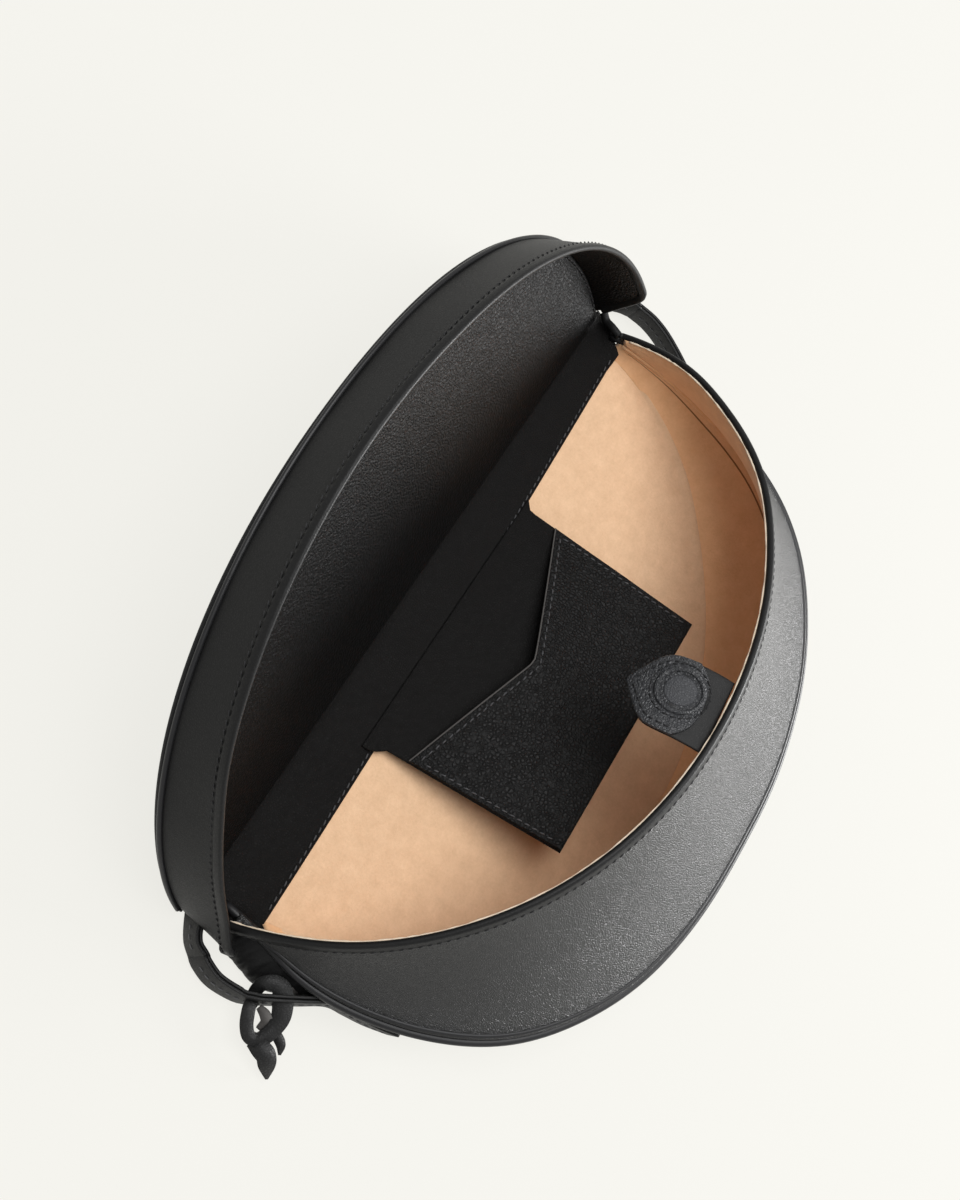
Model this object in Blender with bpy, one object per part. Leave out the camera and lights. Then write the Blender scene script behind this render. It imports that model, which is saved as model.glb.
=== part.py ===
"""Half-moon flap bag lying open on its back panel.

Bag frame used below: +X along the flap's hinge line, +Y from the hinge to the
curved bottom, +Z away from the back panel. Heights are counted from the suede
of the back panel, and BAG_ORIGIN carries that frame to the floor.
"""
import math

import bmesh
import bpy
from mathutils import Vector

# Body: half-moon back panel, gusset that flares to the piping, wall that leans in to the rim
BACK_HALF_WIDTH = 0.1242
BACK_DEPTH = 0.1140
BACK_ROUNDNESS = 1.87
PIPING_SIDE_SPREAD = 0.0053
PIPING_END_SPREAD = 0.0285
PIPING_HALF_WIDTH = BACK_HALF_WIDTH + PIPING_SIDE_SPREAD
PIPING_DEPTH = BACK_DEPTH + PIPING_END_SPREAD
PIPING_ROUNDNESS = 2.75
PIPING_CORNER_TUCK = 0.0050
PIPING_RADIUS = 0.0019
PIPING_CORNER_HEIGHT = 0.0040
PIPING_BOTTOM_HEIGHT = 0.0180
BACK_THICKNESS = 0.0024
LINING_THICKNESS = 0.0012
GUSSET_THICKNESS = 0.0016
WALL_THICKNESS = 0.0013
WALL_LINING_THICKNESS = 0.0008
WALL_SEAM_SETBACK = 0.0008
WALL_UPRIGHT_LENGTH = 0.0400
WALL_ROW_CROWDING = 1.6
BINDING_THICKNESS = 0.0008
BINDING_OUTER_LEG = 0.0060
BINDING_INNER_LEG = 0.0030
GUSSET_START_ANGLE = math.radians(1.5)
MOUTH_START_ANGLE = math.radians(5.0)
LINING_START_ANGLE = math.radians(8.5)
LINING_SEAM_MARGIN = 0.0050
FACING_THICKNESS = 0.0015

# Flap: a root strip that stands up when shut, a half-moon panel and a lip square to it
HINGE_BEHIND_LINING = 0.0080
HINGE_BEHIND_CORNER = 0.0005
HINGE_HEIGHT = 0.0006
FLAP_SIDE_SPREAD = 0.0110
FLAP_HALF_WIDTH = BACK_HALF_WIDTH + FLAP_SIDE_SPREAD
FLAP_DEPTH = 0.1080
FLAP_ROUNDNESS = 2.05
FLAP_FOOT = 0.0052
FLAP_OUTSET = 0.0087
FLAP_OPEN_SLOPE = math.radians(49.9)
FLAP_SHUT_SLOPE = math.radians(40.3)
FLAP_THICKNESS = 0.0020
FLAP_LINING_THICKNESS = 0.0010
ROOT_THICKNESS = 0.0028
ROOT_HALF_WIDTH = BACK_HALF_WIDTH - 0.0027
ROOT_RELIEF = 0.0010
LIP_WIDTH = 0.0185
LIP_TIP_WIDTH = 0.0050
LIP_TIP_ROUND = 0.0180
LIP_THICKNESS = 0.0013
LIP_LINING_THICKNESS = 0.0008
LIP_START_ANGLE = math.radians(1.5)
LIP_EDGE_RADIUS = 0.0014
FLAP_CORD_RADIUS = 0.0010
FLAP_MAGNET_RADIUS = 0.0060
FLAP_MAGNET_THICKNESS = 0.0014
FLAP_RING_WIDTH = 0.0016
FLAP_RING_THICKNESS = 0.0008

# Rim of the mouth: the flap's outline drawn in, so that the lip shuts around it
RIM_SIDE_INSET = 0.0060
RIM_END_INSET = 0.0038
RIM_UNDER_FLAP = 0.0018

# Magnet tab under the middle of the rim
TAB_WIDTH = 0.0270
TAB_LENGTH = 0.0310
TAB_POINT_LENGTH = 0.0105
TAB_TIP_WIDTH = 0.0120
TAB_FACE_THICKNESS = 0.0012
TAB_BACKING_THICKNESS = 0.0010
TAB_MAGNET_RADIUS = 0.0053
TAB_MAGNET_THICKNESS = 0.0009
TAB_MAGNET_CHAMFER = 0.0004
TAB_MAGNET_DISTANCE = 0.0165
TAB_SLOPE = math.radians(42.0)
TAB_ROOT_DEPTH = 0.0028
TAB_ROOT_GAP = 0.0007

# Card pocket hung from the facing
POCKET_WIDTH = 0.1020
POCKET_LENGTH = 0.0735
POCKET_TILT = math.radians(16.5)
POCKET_HINGE_Y = 0.0012
POCKET_HINGE_HEIGHT = 0.0012
POCKET_LAYER_THICKNESS = 0.0012
POCKET_MOUTH_SIDE = 0.0110
POCKET_MOUTH_NOTCH = 0.0300
POCKET_MOUTH_SHOULDER = 0.0060
POCKET_FRONT_INSET = 0.0010

# Strap: two layers standing on edge, sewn to the gusset at both ends
STRAP_HEIGHT = 0.0100
STRAP_LAYER_THICKNESS = 0.0011
STRAP_LIFT = 0.0006
STRAP_ARC_SPREAD = 0.0105
STRAP_ARC_HALF_WIDTH = PIPING_HALF_WIDTH + STRAP_ARC_SPREAD
STRAP_ARC_DEPTH = 0.0340
STRAP_ARC_ROUNDNESS = 2.2
STRAP_ARC_START_Y = -0.0230
STRAP_HINGE_Y = -0.0060
STRAP_END_RELIEF = 0.0007
STRAP_LOOP_REACH = 0.0195
STRAP_SEWN_START_Y = 0.0430
STRAP_END_LENGTH_Y = 0.0650
STRAP_SEAT_SLACK = 0.0006
STRAP_LOOP_FULLNESS = 1.9
STRAP_END_RISE = 0.0085
STRAP_CLIMB_START_Y = -0.0260

# Lace tied around the left end of the strap
LACE_RADIUS = 0.0013
LACE_SLACK = 0.0028
LACE_HANG = 0.0009
LACE_PLACE_Y = 0.0160
LACE_DRIFT = 0.0025
LACE_WRAP_START = 0.0045
LACE_WRAP_ROUNDNESS = 3.0
LACE_RING_PLACE = 0.0100
LACE_RING_RADIUS = 0.0045
LACE_RING_TURN = math.radians(300.0)
LACE_RING_CLIMB = 0.0036
LACE_TAIL_REACH = 0.0220
LACE_SHORT_TAIL_REACH = 0.0135

# Clearances and places
GAP = 0.0003
HINGE_Y = -HINGE_BEHIND_LINING
CORNER_Y = HINGE_Y + HINGE_BEHIND_CORNER
FLOOR = -(BACK_THICKNESS + GAP + LINING_THICKNESS)
BAG_ORIGIN = Vector((0.0, -0.0450, -FLOOR))
HINGE = Vector((0.0, HINGE_Y, HINGE_HEIGHT))
RIM_HEIGHT_IN_FLAP = FLAP_OUTSET - FLAP_THICKNESS - GAP - FLAP_LINING_THICKNESS - RIM_UNDER_FLAP
ARC_STEPS = 44


def clear_scene():
    for item in list(bpy.data.objects):
        bpy.data.objects.remove(item)


def material(name, colour, roughness, metallic=0.0):
    made = bpy.data.materials.new(name)
    made.use_nodes = True
    shader = made.node_tree.nodes["Principled BSDF"]
    shader.inputs["Base Color"].default_value = (*colour, 1.0)
    shader.inputs["Roughness"].default_value = roughness
    shader.inputs["Metallic"].default_value = metallic
    return made


def add_object(name, mesh, pivot, paint):
    """Link a mesh whose points are in the bag frame, with its origin at the pivot."""
    pivot = Vector(pivot)
    for vertex in mesh.vertices:
        vertex.co -= pivot
    made = bpy.data.objects.new(name, mesh)
    made.location = pivot + BAG_ORIGIN
    mesh.materials.append(paint)
    bag_collection.objects.link(made)
    mesh.shade_smooth()
    mesh.set_sharp_from_angle(angle=math.radians(35.0))
    return made


def mesh_from(build, name):
    shape = bmesh.new()
    build(shape)
    bmesh.ops.recalc_face_normals(shape, faces=shape.faces)
    mesh = bpy.data.meshes.new(name)
    shape.to_mesh(mesh)
    shape.free()
    return mesh


def loft(name, sections, pivot, paint, ring=False):
    """Skin a row of closed sections that have the same number of points."""
    def build(shape):
        rows = [[shape.verts.new(point) for point in section] for section in sections]
        count = len(rows[0])
        pairs = list(zip(rows, rows[1:]))
        if ring:
            pairs.append((rows[-1], rows[0]))
        for lower, upper in pairs:
            for k in range(count):
                n = (k + 1) % count
                shape.faces.new((lower[k], lower[n], upper[n], upper[k]))
        if not ring:
            shape.faces.new(rows[0])
            shape.faces.new(rows[-1])
    return add_object(name, mesh_from(build, name), pivot, paint)


def plate(name, outline, across, pivot, paint):
    """Extrude a flat outline of points by the vector across."""
    def build(shape):
        face = shape.faces.new([shape.verts.new(point) for point in outline])
        grown = bmesh.ops.extrude_face_region(shape, geom=[face])
        moved = [item for item in grown["geom"] if isinstance(item, bmesh.types.BMVert)]
        bmesh.ops.translate(shape, verts=moved, vec=across)
    return add_object(name, mesh_from(build, name), pivot, paint)


def tube(name, points, radius, pivot, paint):
    """Cord of round section along points, with filled ends."""
    curve = bpy.data.curves.new(name, "CURVE")
    curve.dimensions = "3D"
    curve.bevel_depth = radius
    curve.bevel_resolution = 2
    curve.use_fill_caps = True
    spline = curve.splines.new("POLY")
    spline.points.add(len(points) - 1)
    for knot, point in zip(spline.points, points):
        knot.co = (*(point - Vector(pivot)), 1.0)
    made = bpy.data.objects.new(name, curve)
    made.location = Vector(pivot) + BAG_ORIGIN
    curve.materials.append(paint)
    bag_collection.objects.link(made)
    return made


def superellipse(angle, half_width, depth, roundness):
    """Point of a half-moon outline, from +X at angle 0 to -X at half a turn."""
    share = min(max(math.sin(angle), 0.0), 1.0)
    across = (1.0 - share ** roundness) ** (1.0 / roundness)
    return math.copysign(across, math.cos(angle)) * half_width, depth * share


def sweep(start=0.0, steps=ARC_STEPS):
    """Angles round the half-moon, a little closer together near both corners."""
    span = math.pi - 2.0 * start
    shares = [0.5 * (k / steps) + 0.25 * (1.0 - math.cos(math.pi * k / steps)) for k in range(steps + 1)]
    return [start + span * share for share in shares]


def crease(angle, inset=0.0):
    x, y = superellipse(angle, BACK_HALF_WIDTH - inset, BACK_DEPTH - inset, BACK_ROUNDNESS)
    return Vector((x, CORNER_Y + y, 0.0))


def piping(angle):
    x, y = superellipse(angle, PIPING_HALF_WIDTH, PIPING_DEPTH, PIPING_ROUNDNESS)
    x -= math.copysign(PIPING_CORNER_TUCK * (1.0 - y / PIPING_DEPTH) ** 3, x)
    rise = math.sqrt(max(math.sin(angle), 0.0))
    height = PIPING_CORNER_HEIGHT + (PIPING_BOTTOM_HEIGHT - PIPING_CORNER_HEIGHT) * rise
    return Vector((x, CORNER_Y + y, height))


def flap_point(x, along, out, slope, opened):
    """A point of the flap: along its panel from the hinge, out from its inner side."""
    way = -1.0 if opened else 1.0
    ahead = Vector((0, way * math.cos(slope), math.sin(slope)))
    outward = Vector((0, -math.sin(slope), way * math.cos(slope)))
    return HINGE + Vector((x, 0, 0)) + ahead * along + outward * out


def open_flap(x, along, out):
    return flap_point(x, along, out, FLAP_OPEN_SLOPE, True)


def shut_flap(x, along, out):
    return flap_point(x, along, out, FLAP_SHUT_SLOPE, False)


def flap_outline(angle, side_inset=0.0, end_inset=None):
    end_inset = side_inset if end_inset is None else end_inset
    x, y = superellipse(angle, FLAP_HALF_WIDTH - side_inset, FLAP_DEPTH - end_inset, FLAP_ROUNDNESS)
    return x, FLAP_FOOT + y


def rim(angle):
    x, along = flap_outline(angle, RIM_SIDE_INSET, RIM_END_INSET)
    return shut_flap(x, along, RIM_HEIGHT_IN_FLAP)


def wall_row(angle, top_trim, bottom_trim, count):
    """Points down the wall, upright under the lip and then out to the piping."""
    top, foot = rim(angle), piping(angle)
    lip_way = (shut_flap(0, 0, -1.0) - shut_flap(0, 0, 0)).normalized()
    bend = top + lip_way * min(WALL_UPRIGHT_LENGTH, 0.45 * (foot - top).length)
    line = [top * (1 - k) ** 2 + bend * 2 * k * (1 - k) + foot * k * k for k in (j / 24 for j in range(25))]
    return resample(line, top_trim, seam_trim(line, angle, bottom_trim), count, WALL_ROW_CROWDING)


def seam_trim(row, angle, margin):
    """How far up a row to stop so that its end stays a margin away from the slanting piping."""
    way = (piping(angle + 0.002) - piping(angle - 0.002)).normalized()
    lean = (row[-1] - row[-2]).normalized().cross(way).length
    return margin / max(lean, 0.5)


def resample(points, start_trim, end_trim, count, crowding=1.0):
    """Points spread along a line, crowded toward its start where the last figure is above one."""
    reach = [0.0]
    for near, far in zip(points, points[1:]):
        reach.append(reach[-1] + (far - near).length)
    row = []
    for k in range(count + 1):
        goal = start_trim + (reach[-1] - start_trim - end_trim) * (k / count) ** crowding
        spot = max(j for j in range(len(points) - 1) if reach[j] <= goal or j == 0)
        part = (goal - reach[spot]) / (reach[spot + 1] - reach[spot])
        row.append(points[spot].lerp(points[spot + 1], part))
    return row


def surface_normals(rows, outward):
    """Normals of a grid of points, turned to the side of the outward function."""
    normals = []
    last = len(rows) - 1
    for i, row in enumerate(rows):
        line = []
        for j, point in enumerate(row):
            along = rows[min(i + 1, last)][j] - rows[max(i - 1, 0)][j]
            down = row[min(j + 1, len(row) - 1)] - row[max(j - 1, 0)]
            normal = along.cross(down).normalized()
            line.append(normal if normal.dot(outward(point)) > 0 else -normal)
        normals.append(line)
    return normals


def shell(name, rows, near, far, outward, paint, pivot=(0, 0, 0)):
    """Closed sheet between two offsets of a grid of points."""
    normals = surface_normals(rows, outward)
    sections = []
    for row, line in zip(rows, normals):
        outer = [point + normal * far for point, normal in zip(row, line)]
        inner = [point + normal * near for point, normal in zip(row, line)]
        sections.append(outer + inner[::-1])
    return loft(name, sections, pivot, paint)


def away_from_middle(point):
    return Vector((point.x, point.y - 0.02, 0.0))


def down_and_away(point):
    return Vector((point.x, point.y - 0.02, -0.05))


def make_back():
    edge = [crease(angle, GAP) for angle in sweep()]
    bottom = Vector((0, 0, FLOOR))
    up = Vector((0, 0, 1))
    plate("back_panel", [point + bottom for point in edge], up * BACK_THICKNESS, (0, 0, 0), grain)
    suede_edge = [point for point in (crease(angle, 2 * GAP) for angle in sweep()) if point.y > GAP]
    left, right = suede_edge[0], suede_edge[-1]
    outline = [Vector((left.x, GAP, 0)), *suede_edge, Vector((right.x, GAP, 0))]
    lower = Vector((0, 0, -LINING_THICKNESS))
    plate("back_lining", [point + lower for point in outline], -lower, (0, 0, 0), suede)
    half = BACK_HALF_WIDTH - 2 * GAP
    corners = [(-half, CORNER_Y), (half, CORNER_Y), (half, 0.0), (-half, 0.0)]
    flat = [Vector((x, y, -LINING_THICKNESS)) for x, y in corners]
    plate("top_facing", flat, Vector((0, 0, FACING_THICKNESS)), (0, 0, 0), fine)


def gusset_rows(start, margin):
    rows = []
    for angle in sweep(start):
        line = [crease(angle), piping(angle)]
        rows.append(resample(line, 3 * GAP, seam_trim(line, angle, margin), 2))
    return rows


def make_gusset():
    inner = -WALL_SEAM_SETBACK
    middle = inner + WALL_LINING_THICKNESS
    lining = gusset_rows(LINING_START_ANGLE, LINING_SEAM_MARGIN)
    shell("gusset_lining", lining, inner, middle, down_and_away, suede)
    leather = gusset_rows(GUSSET_START_ANGLE, PIPING_RADIUS + 2 * GAP)
    shell("gusset", leather, middle + GAP, middle + GAP + GUSSET_THICKNESS, down_and_away, smooth)


def make_wall():
    top_trim = BINDING_THICKNESS + 2 * GAP
    rows = [wall_row(angle, top_trim, PIPING_RADIUS + GAP, 4) for angle in sweep(MOUTH_START_ANGLE)]
    lining_rows = [wall_row(angle, top_trim, LINING_SEAM_MARGIN, 4) for angle in sweep(LINING_START_ANGLE)]
    outer = -WALL_SEAM_SETBACK
    middle = outer - WALL_THICKNESS
    inner = middle - GAP - WALL_LINING_THICKNESS
    shell("front_wall", rows, middle, outer, away_from_middle, smooth)
    shell("front_wall_lining", lining_rows, inner, middle - GAP, away_from_middle, suede)
    tube("base_piping", [piping(angle) for angle in sweep()], PIPING_RADIUS, (0, 0, 0), edge_paint)
    make_binding(rows, outer, inner)


def make_binding(rows, outer, inner):
    """Rolled edge over the rim, its legs lying along the first span of the wall's rows."""
    normals = surface_normals(rows, away_from_middle)
    face, back = outer + GAP + BINDING_THICKNESS, inner - GAP - BINDING_THICKNESS
    bevel = 0.5 * BINDING_THICKNESS
    sections = []
    for row, line in zip(rows, normals):
        leg = max(min(BINDING_OUTER_LEG, (row[1] - row[0]).length), BINDING_INNER_LEG)
        profile = [
            (bevel, face), (leg, face), (leg, outer + GAP), (BINDING_THICKNESS, outer + GAP),
            (BINDING_THICKNESS, inner - GAP), (BINDING_INNER_LEG, inner - GAP), (BINDING_INNER_LEG, back),
            (bevel, back), (0.0, back + bevel), (0.0, face - bevel)]
        down = (row[1] - row[0]).normalized()
        top = row[0] - down * (BINDING_THICKNESS + 2 * GAP)
        sections.append([top + down * d + line[0] * n for d, n in profile])
    loft("rim_binding", sections, (0, 0, 0), edge_paint)


def flap_plate(name, inset, top, bottom, paint):
    outline = [flap_outline(angle, inset) for angle in sweep()]
    across = open_flap(0, 0, top) - open_flap(0, 0, bottom)
    return plate(name, [open_flap(x, along, bottom) for x, along in outline], across, HINGE, paint)


def make_flap():
    inside = FLAP_OUTSET - FLAP_THICKNESS
    lining_top = inside - GAP
    lip_depth = LIP_THICKNESS + GAP + LIP_LINING_THICKNESS
    flap_plate("flap_panel", 0.0, FLAP_OUTSET, inside, smooth)
    flap_plate("flap_lining", lip_depth + GAP, lining_top, lining_top - FLAP_LINING_THICKNESS, grain)
    rows = []
    for angle in sweep(LIP_START_ANGLE):
        x, along = flap_outline(angle)
        rows.append([open_flap(x, along, lining_top - lip_width(along) * k / 3) for k in range(4)])
    middle = open_flap(0, FLAP_FOOT, 0)

    def from_middle(point):
        return point - middle
    shell("flap_lip", rows, -LIP_THICKNESS, 0.0, from_middle, smooth, HINGE)
    lining_near = -LIP_THICKNESS - GAP
    lining_far = lining_near - LIP_LINING_THICKNESS
    shell("flap_lip_lining", rows, lining_far, lining_near, from_middle, grain, HINGE)
    make_flap_edges(lining_top, lip_depth)
    make_flap_root(lining_top - FLAP_LINING_THICKNESS)
    make_flap_magnet(lining_top - FLAP_LINING_THICKNESS)


def lip_width(along):
    """The lip's width, rounded off where it starts beside the root."""
    short = 1.0 - min((along - FLAP_FOOT) / LIP_TIP_ROUND, 1.0)
    return LIP_WIDTH - (LIP_WIDTH - LIP_TIP_WIDTH) * short ** 2


def lip_edge_drop(along):
    """From the lip's cut edge to the middle of its rolled edge, square to the edge where it slants."""
    short = 1.0 - min((along - FLAP_FOOT) / LIP_TIP_ROUND, 1.0)
    slant = 2.0 * short * (LIP_WIDTH - LIP_TIP_WIDTH) / LIP_TIP_ROUND
    return (2 * GAP + LIP_EDGE_RADIUS) * math.hypot(1.0, slant)


def make_flap_edges(lining_top, lip_depth):
    roll = []
    cord = []
    for angle in sweep(LIP_START_ANGLE):
        x, along = flap_outline(angle, 0.5 * lip_depth)
        roll.append(open_flap(x, along, lining_top - lip_width(along) - lip_edge_drop(along)))
        x, along = flap_outline(angle, -FLAP_CORD_RADIUS - GAP)
        cord.append(open_flap(x, along, lining_top))
    tube("lip_edge", roll, LIP_EDGE_RADIUS, HINGE, smooth)
    tube("flap_piping", cord, FLAP_CORD_RADIUS, HINGE, edge_paint)


def make_flap_root(lining_bottom):
    """Strip between the hinge line and the panel's foot, lying flat while the flap is open."""
    seat = open_flap(0, FLAP_FOOT - GAP, FLAP_OUTSET)
    brow = open_flap(0, FLAP_FOOT - GAP, lining_bottom)
    near = HINGE_Y - GAP
    top = HINGE_HEIGHT - GAP
    profile = [
        Vector((0, near, top)), Vector((0, near, top - ROOT_RELIEF)),
        Vector((0, near - ROOT_RELIEF, top - ROOT_THICKNESS)),
        Vector((0, seat.y + ROOT_RELIEF, top - ROOT_THICKNESS)), seat, brow]
    sections = []
    for side in (-1, 1):
        sections.append([point + Vector((side * ROOT_HALF_WIDTH, 0, 0)) for point in profile])
    loft("flap_root", sections, HINGE, fine)


def make_flap_magnet(lining_bottom):
    centre_along = tab_magnet_place()
    centre = open_flap(0, centre_along, 0)
    ahead = (open_flap(0, 1, 0) - open_flap(0, 0, 0)).normalized()
    outward = (open_flap(0, 0, 1) - open_flap(0, 0, 0)).normalized()

    def circle(radius, out):
        points = []
        for k in range(32):
            turn = math.tau * k / 32
            spoke = Vector((math.cos(turn), 0, 0)) + ahead * math.sin(turn)
            points.append(centre + spoke * radius + outward * out)
        return points
    top = lining_bottom - GAP
    plate("flap_magnet", circle(FLAP_MAGNET_RADIUS, top), -outward * FLAP_MAGNET_THICKNESS, HINGE, metal)
    inner = FLAP_MAGNET_RADIUS + GAP
    outer = inner + FLAP_RING_WIDTH
    bottom = top - FLAP_RING_THICKNESS
    corners = [(inner, top), (outer, top), (outer, bottom), (inner, bottom)]
    rings = [circle(radius, out) for radius, out in corners]
    loft("flap_magnet_ring", rings, HINGE, grain, ring=True)


def tab_axis():
    """Where the tab is sewn, in the shut flap's measures."""
    x, along = flap_outline(0.5 * math.pi, RIM_SIDE_INSET, RIM_END_INSET)
    layers = WALL_SEAM_SETBACK + WALL_THICKNESS + WALL_LINING_THICKNESS + 2 * GAP + BINDING_THICKNESS
    return along - layers - TAB_ROOT_GAP, RIM_HEIGHT_IN_FLAP - TAB_ROOT_DEPTH


def tab_magnet_place():
    along, out = tab_axis()
    return along - TAB_MAGNET_DISTANCE


def make_tab():
    along, out = tab_axis()
    pivot = shut_flap(0, along, out)
    ahead = Vector((0, -math.cos(TAB_SLOPE), -math.sin(TAB_SLOPE)))
    upward = Vector((0, -math.sin(TAB_SLOPE), math.cos(TAB_SLOPE)))
    half = 0.5 * TAB_WIDTH
    straight = TAB_LENGTH - TAB_POINT_LENGTH
    tip = 0.5 * TAB_TIP_WIDTH
    corners = [(-half, 0.0), (half, 0.0), (half, straight),
               (tip, TAB_LENGTH), (-tip, TAB_LENGTH), (-half, straight)]

    def layer(name, low, thickness, paint):
        outline = [pivot + Vector((x, 0, 0)) + ahead * reach + upward * low for x, reach in corners]
        return plate(name, outline, upward * thickness, pivot, paint)
    layer("tab_backing", 0.0, TAB_BACKING_THICKNESS, grain)
    layer("tab_face", TAB_BACKING_THICKNESS + GAP, TAB_FACE_THICKNESS, grain)
    centre = pivot + ahead * TAB_MAGNET_DISTANCE
    low = TAB_BACKING_THICKNESS + 2 * GAP + TAB_FACE_THICKNESS
    steps = [(TAB_MAGNET_RADIUS, 0.0), (TAB_MAGNET_RADIUS, TAB_MAGNET_THICKNESS - TAB_MAGNET_CHAMFER),
             (TAB_MAGNET_RADIUS - TAB_MAGNET_CHAMFER, TAB_MAGNET_THICKNESS)]
    sections = []
    for radius, rise in steps:
        section = []
        for k in range(32):
            turn = math.tau * k / 32
            spoke = Vector((math.cos(turn), 0, 0)) + ahead * math.sin(turn)
            section.append(centre + spoke * radius + upward * (low + rise))
        sections.append(section)
    loft("tab_magnet", sections, pivot, grain)


def make_pocket():
    pivot = Vector((0, POCKET_HINGE_Y, POCKET_HINGE_HEIGHT))
    ahead = Vector((0, math.cos(POCKET_TILT), math.sin(POCKET_TILT)))
    upward = Vector((0, -math.sin(POCKET_TILT), math.cos(POCKET_TILT)))
    half = 0.5 * POCKET_WIDTH
    inner = half - POCKET_FRONT_INSET
    shoulder = inner - POCKET_MOUTH_SHOULDER
    back = [(-half, GAP), (half, GAP), (half, POCKET_LENGTH), (-half, POCKET_LENGTH)]
    front = [
        (-inner, POCKET_MOUTH_SIDE), (-shoulder, POCKET_MOUTH_SIDE), (0.0, POCKET_MOUTH_NOTCH),
        (shoulder, POCKET_MOUTH_SIDE), (inner, POCKET_MOUTH_SIDE),
        (inner, POCKET_LENGTH - POCKET_FRONT_INSET), (-inner, POCKET_LENGTH - POCKET_FRONT_INSET)]

    def layer(name, corners, low):
        outline = [pivot + Vector((x, 0, 0)) + ahead * reach + upward * low for x, reach in corners]
        plate(name, outline, upward * POCKET_LAYER_THICKNESS, pivot, grain)
    layer("pocket_back", back, -0.5 * POCKET_LAYER_THICKNESS)
    layer("pocket_front", front, 0.5 * POCKET_LAYER_THICKNESS + GAP)


def strap_centre_height():
    return FLOOR + STRAP_LIFT + 0.5 * STRAP_HEIGHT


def strap_rise(y):
    """How far the strap's lower edge has climbed from the floor on its way to the sewn end."""
    share = (y - STRAP_CLIMB_START_Y) / (STRAP_END_LENGTH_Y - STRAP_CLIMB_START_Y)
    share = min(max(share, 0.0), 1.0)
    return STRAP_END_RISE * share * (2.0 - share)


def strap_layer(name, path, heights, side, pivot, paint, relieved):
    """One layer of the strap, standing on edge, its relieved ends cut to a blunt nose at the hinge."""
    sections = []
    last = len(path) - 1
    for k, (point, height) in enumerate(zip(path, heights)):
        along = (path[min(k + 1, last)] - path[max(k - 1, 0)]).normalized()
        across = Vector((along.y, -along.x, 0.0)) * side
        back = along * STRAP_END_RELIEF * relieved.get(k, 0.0)
        near = point + across * 0.5 * GAP
        far = point + across * (0.5 * GAP + STRAP_LAYER_THICKNESS)
        low, high = height - 0.5 * STRAP_HEIGHT, height + 0.5 * STRAP_HEIGHT
        corners = ((near + back, low), (far + back, low), (far, height),
                   (far + back, high), (near + back, high), (near, height))
        sections.append([Vector((corner.x, corner.y, z)) for corner, z in corners])
    loft(name, sections, pivot, paint)


def strap_hinge_x():
    return PIPING_HALF_WIDTH + STRAP_LOOP_REACH


def bridge(start, start_way, end, end_way, fullness=1.0):
    """Smooth bend between two points that leaves and arrives along the given ways."""
    reach = (end - start).length
    leave, arrive = start_way.normalized() * reach * fullness, end_way.normalized() * reach
    bend = []
    for k in range(9):
        t = k / 8
        bend.append(start * (2 * t ** 3 - 3 * t ** 2 + 1) + leave * (t ** 3 - 2 * t ** 2 + t)
                    + end * (3 * t ** 2 - 2 * t ** 3) + arrive * (t ** 3 - t ** 2))
    return bend


def strap_end_path(side):
    """From the hinge line round the corner and along the piping, on one side of the bag."""
    seat = PIPING_RADIUS + GAP + STRAP_SEAT_SLACK + 0.5 * GAP + STRAP_LAYER_THICKNESS
    sewn = []
    for angle in sweep(0.0, 90):
        near, far = piping(angle), piping(angle + 0.01)
        way = far - near
        outward = Vector((way.y, -way.x, 0)).normalized()
        spot = Vector((near.x, near.y, 0)) + outward * seat
        if angle < 0.5 * math.pi and STRAP_SEWN_START_Y < spot.y < STRAP_END_LENGTH_Y:
            sewn.append(spot)
    start = Vector((strap_hinge_x(), STRAP_HINGE_Y + 0.5 * GAP, 0))
    loop = bridge(start, Vector((0, 1, 0)), sewn[0], sewn[1] - sewn[0], STRAP_LOOP_FULLNESS)
    line = [*loop, *sewn[1:]]
    return [Vector((side * point.x, point.y, 0)) for point in resample(line, 0.0, 0.0, 20)]


def catmull(points, steps):
    """Smooth curve through points."""
    ends = [points[0] * 2 - points[1], *points, points[-1] * 2 - points[-2]]
    curve = []
    for a, b, c, d in zip(ends, ends[1:], ends[2:], ends[3:]):
        for k in range(steps):
            t = k / steps
            bend = 2 * a - 5 * b + 4 * c - d
            twist = 3 * b - a - 3 * c + d
            curve.append(0.5 * (2 * b + (c - a) * t + bend * t * t + twist * t ** 3))
    curve.append(points[-1])
    return curve


def strap_pivot():
    return Vector((0, STRAP_HINGE_Y, strap_centre_height() + strap_rise(STRAP_HINGE_Y)))


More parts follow.
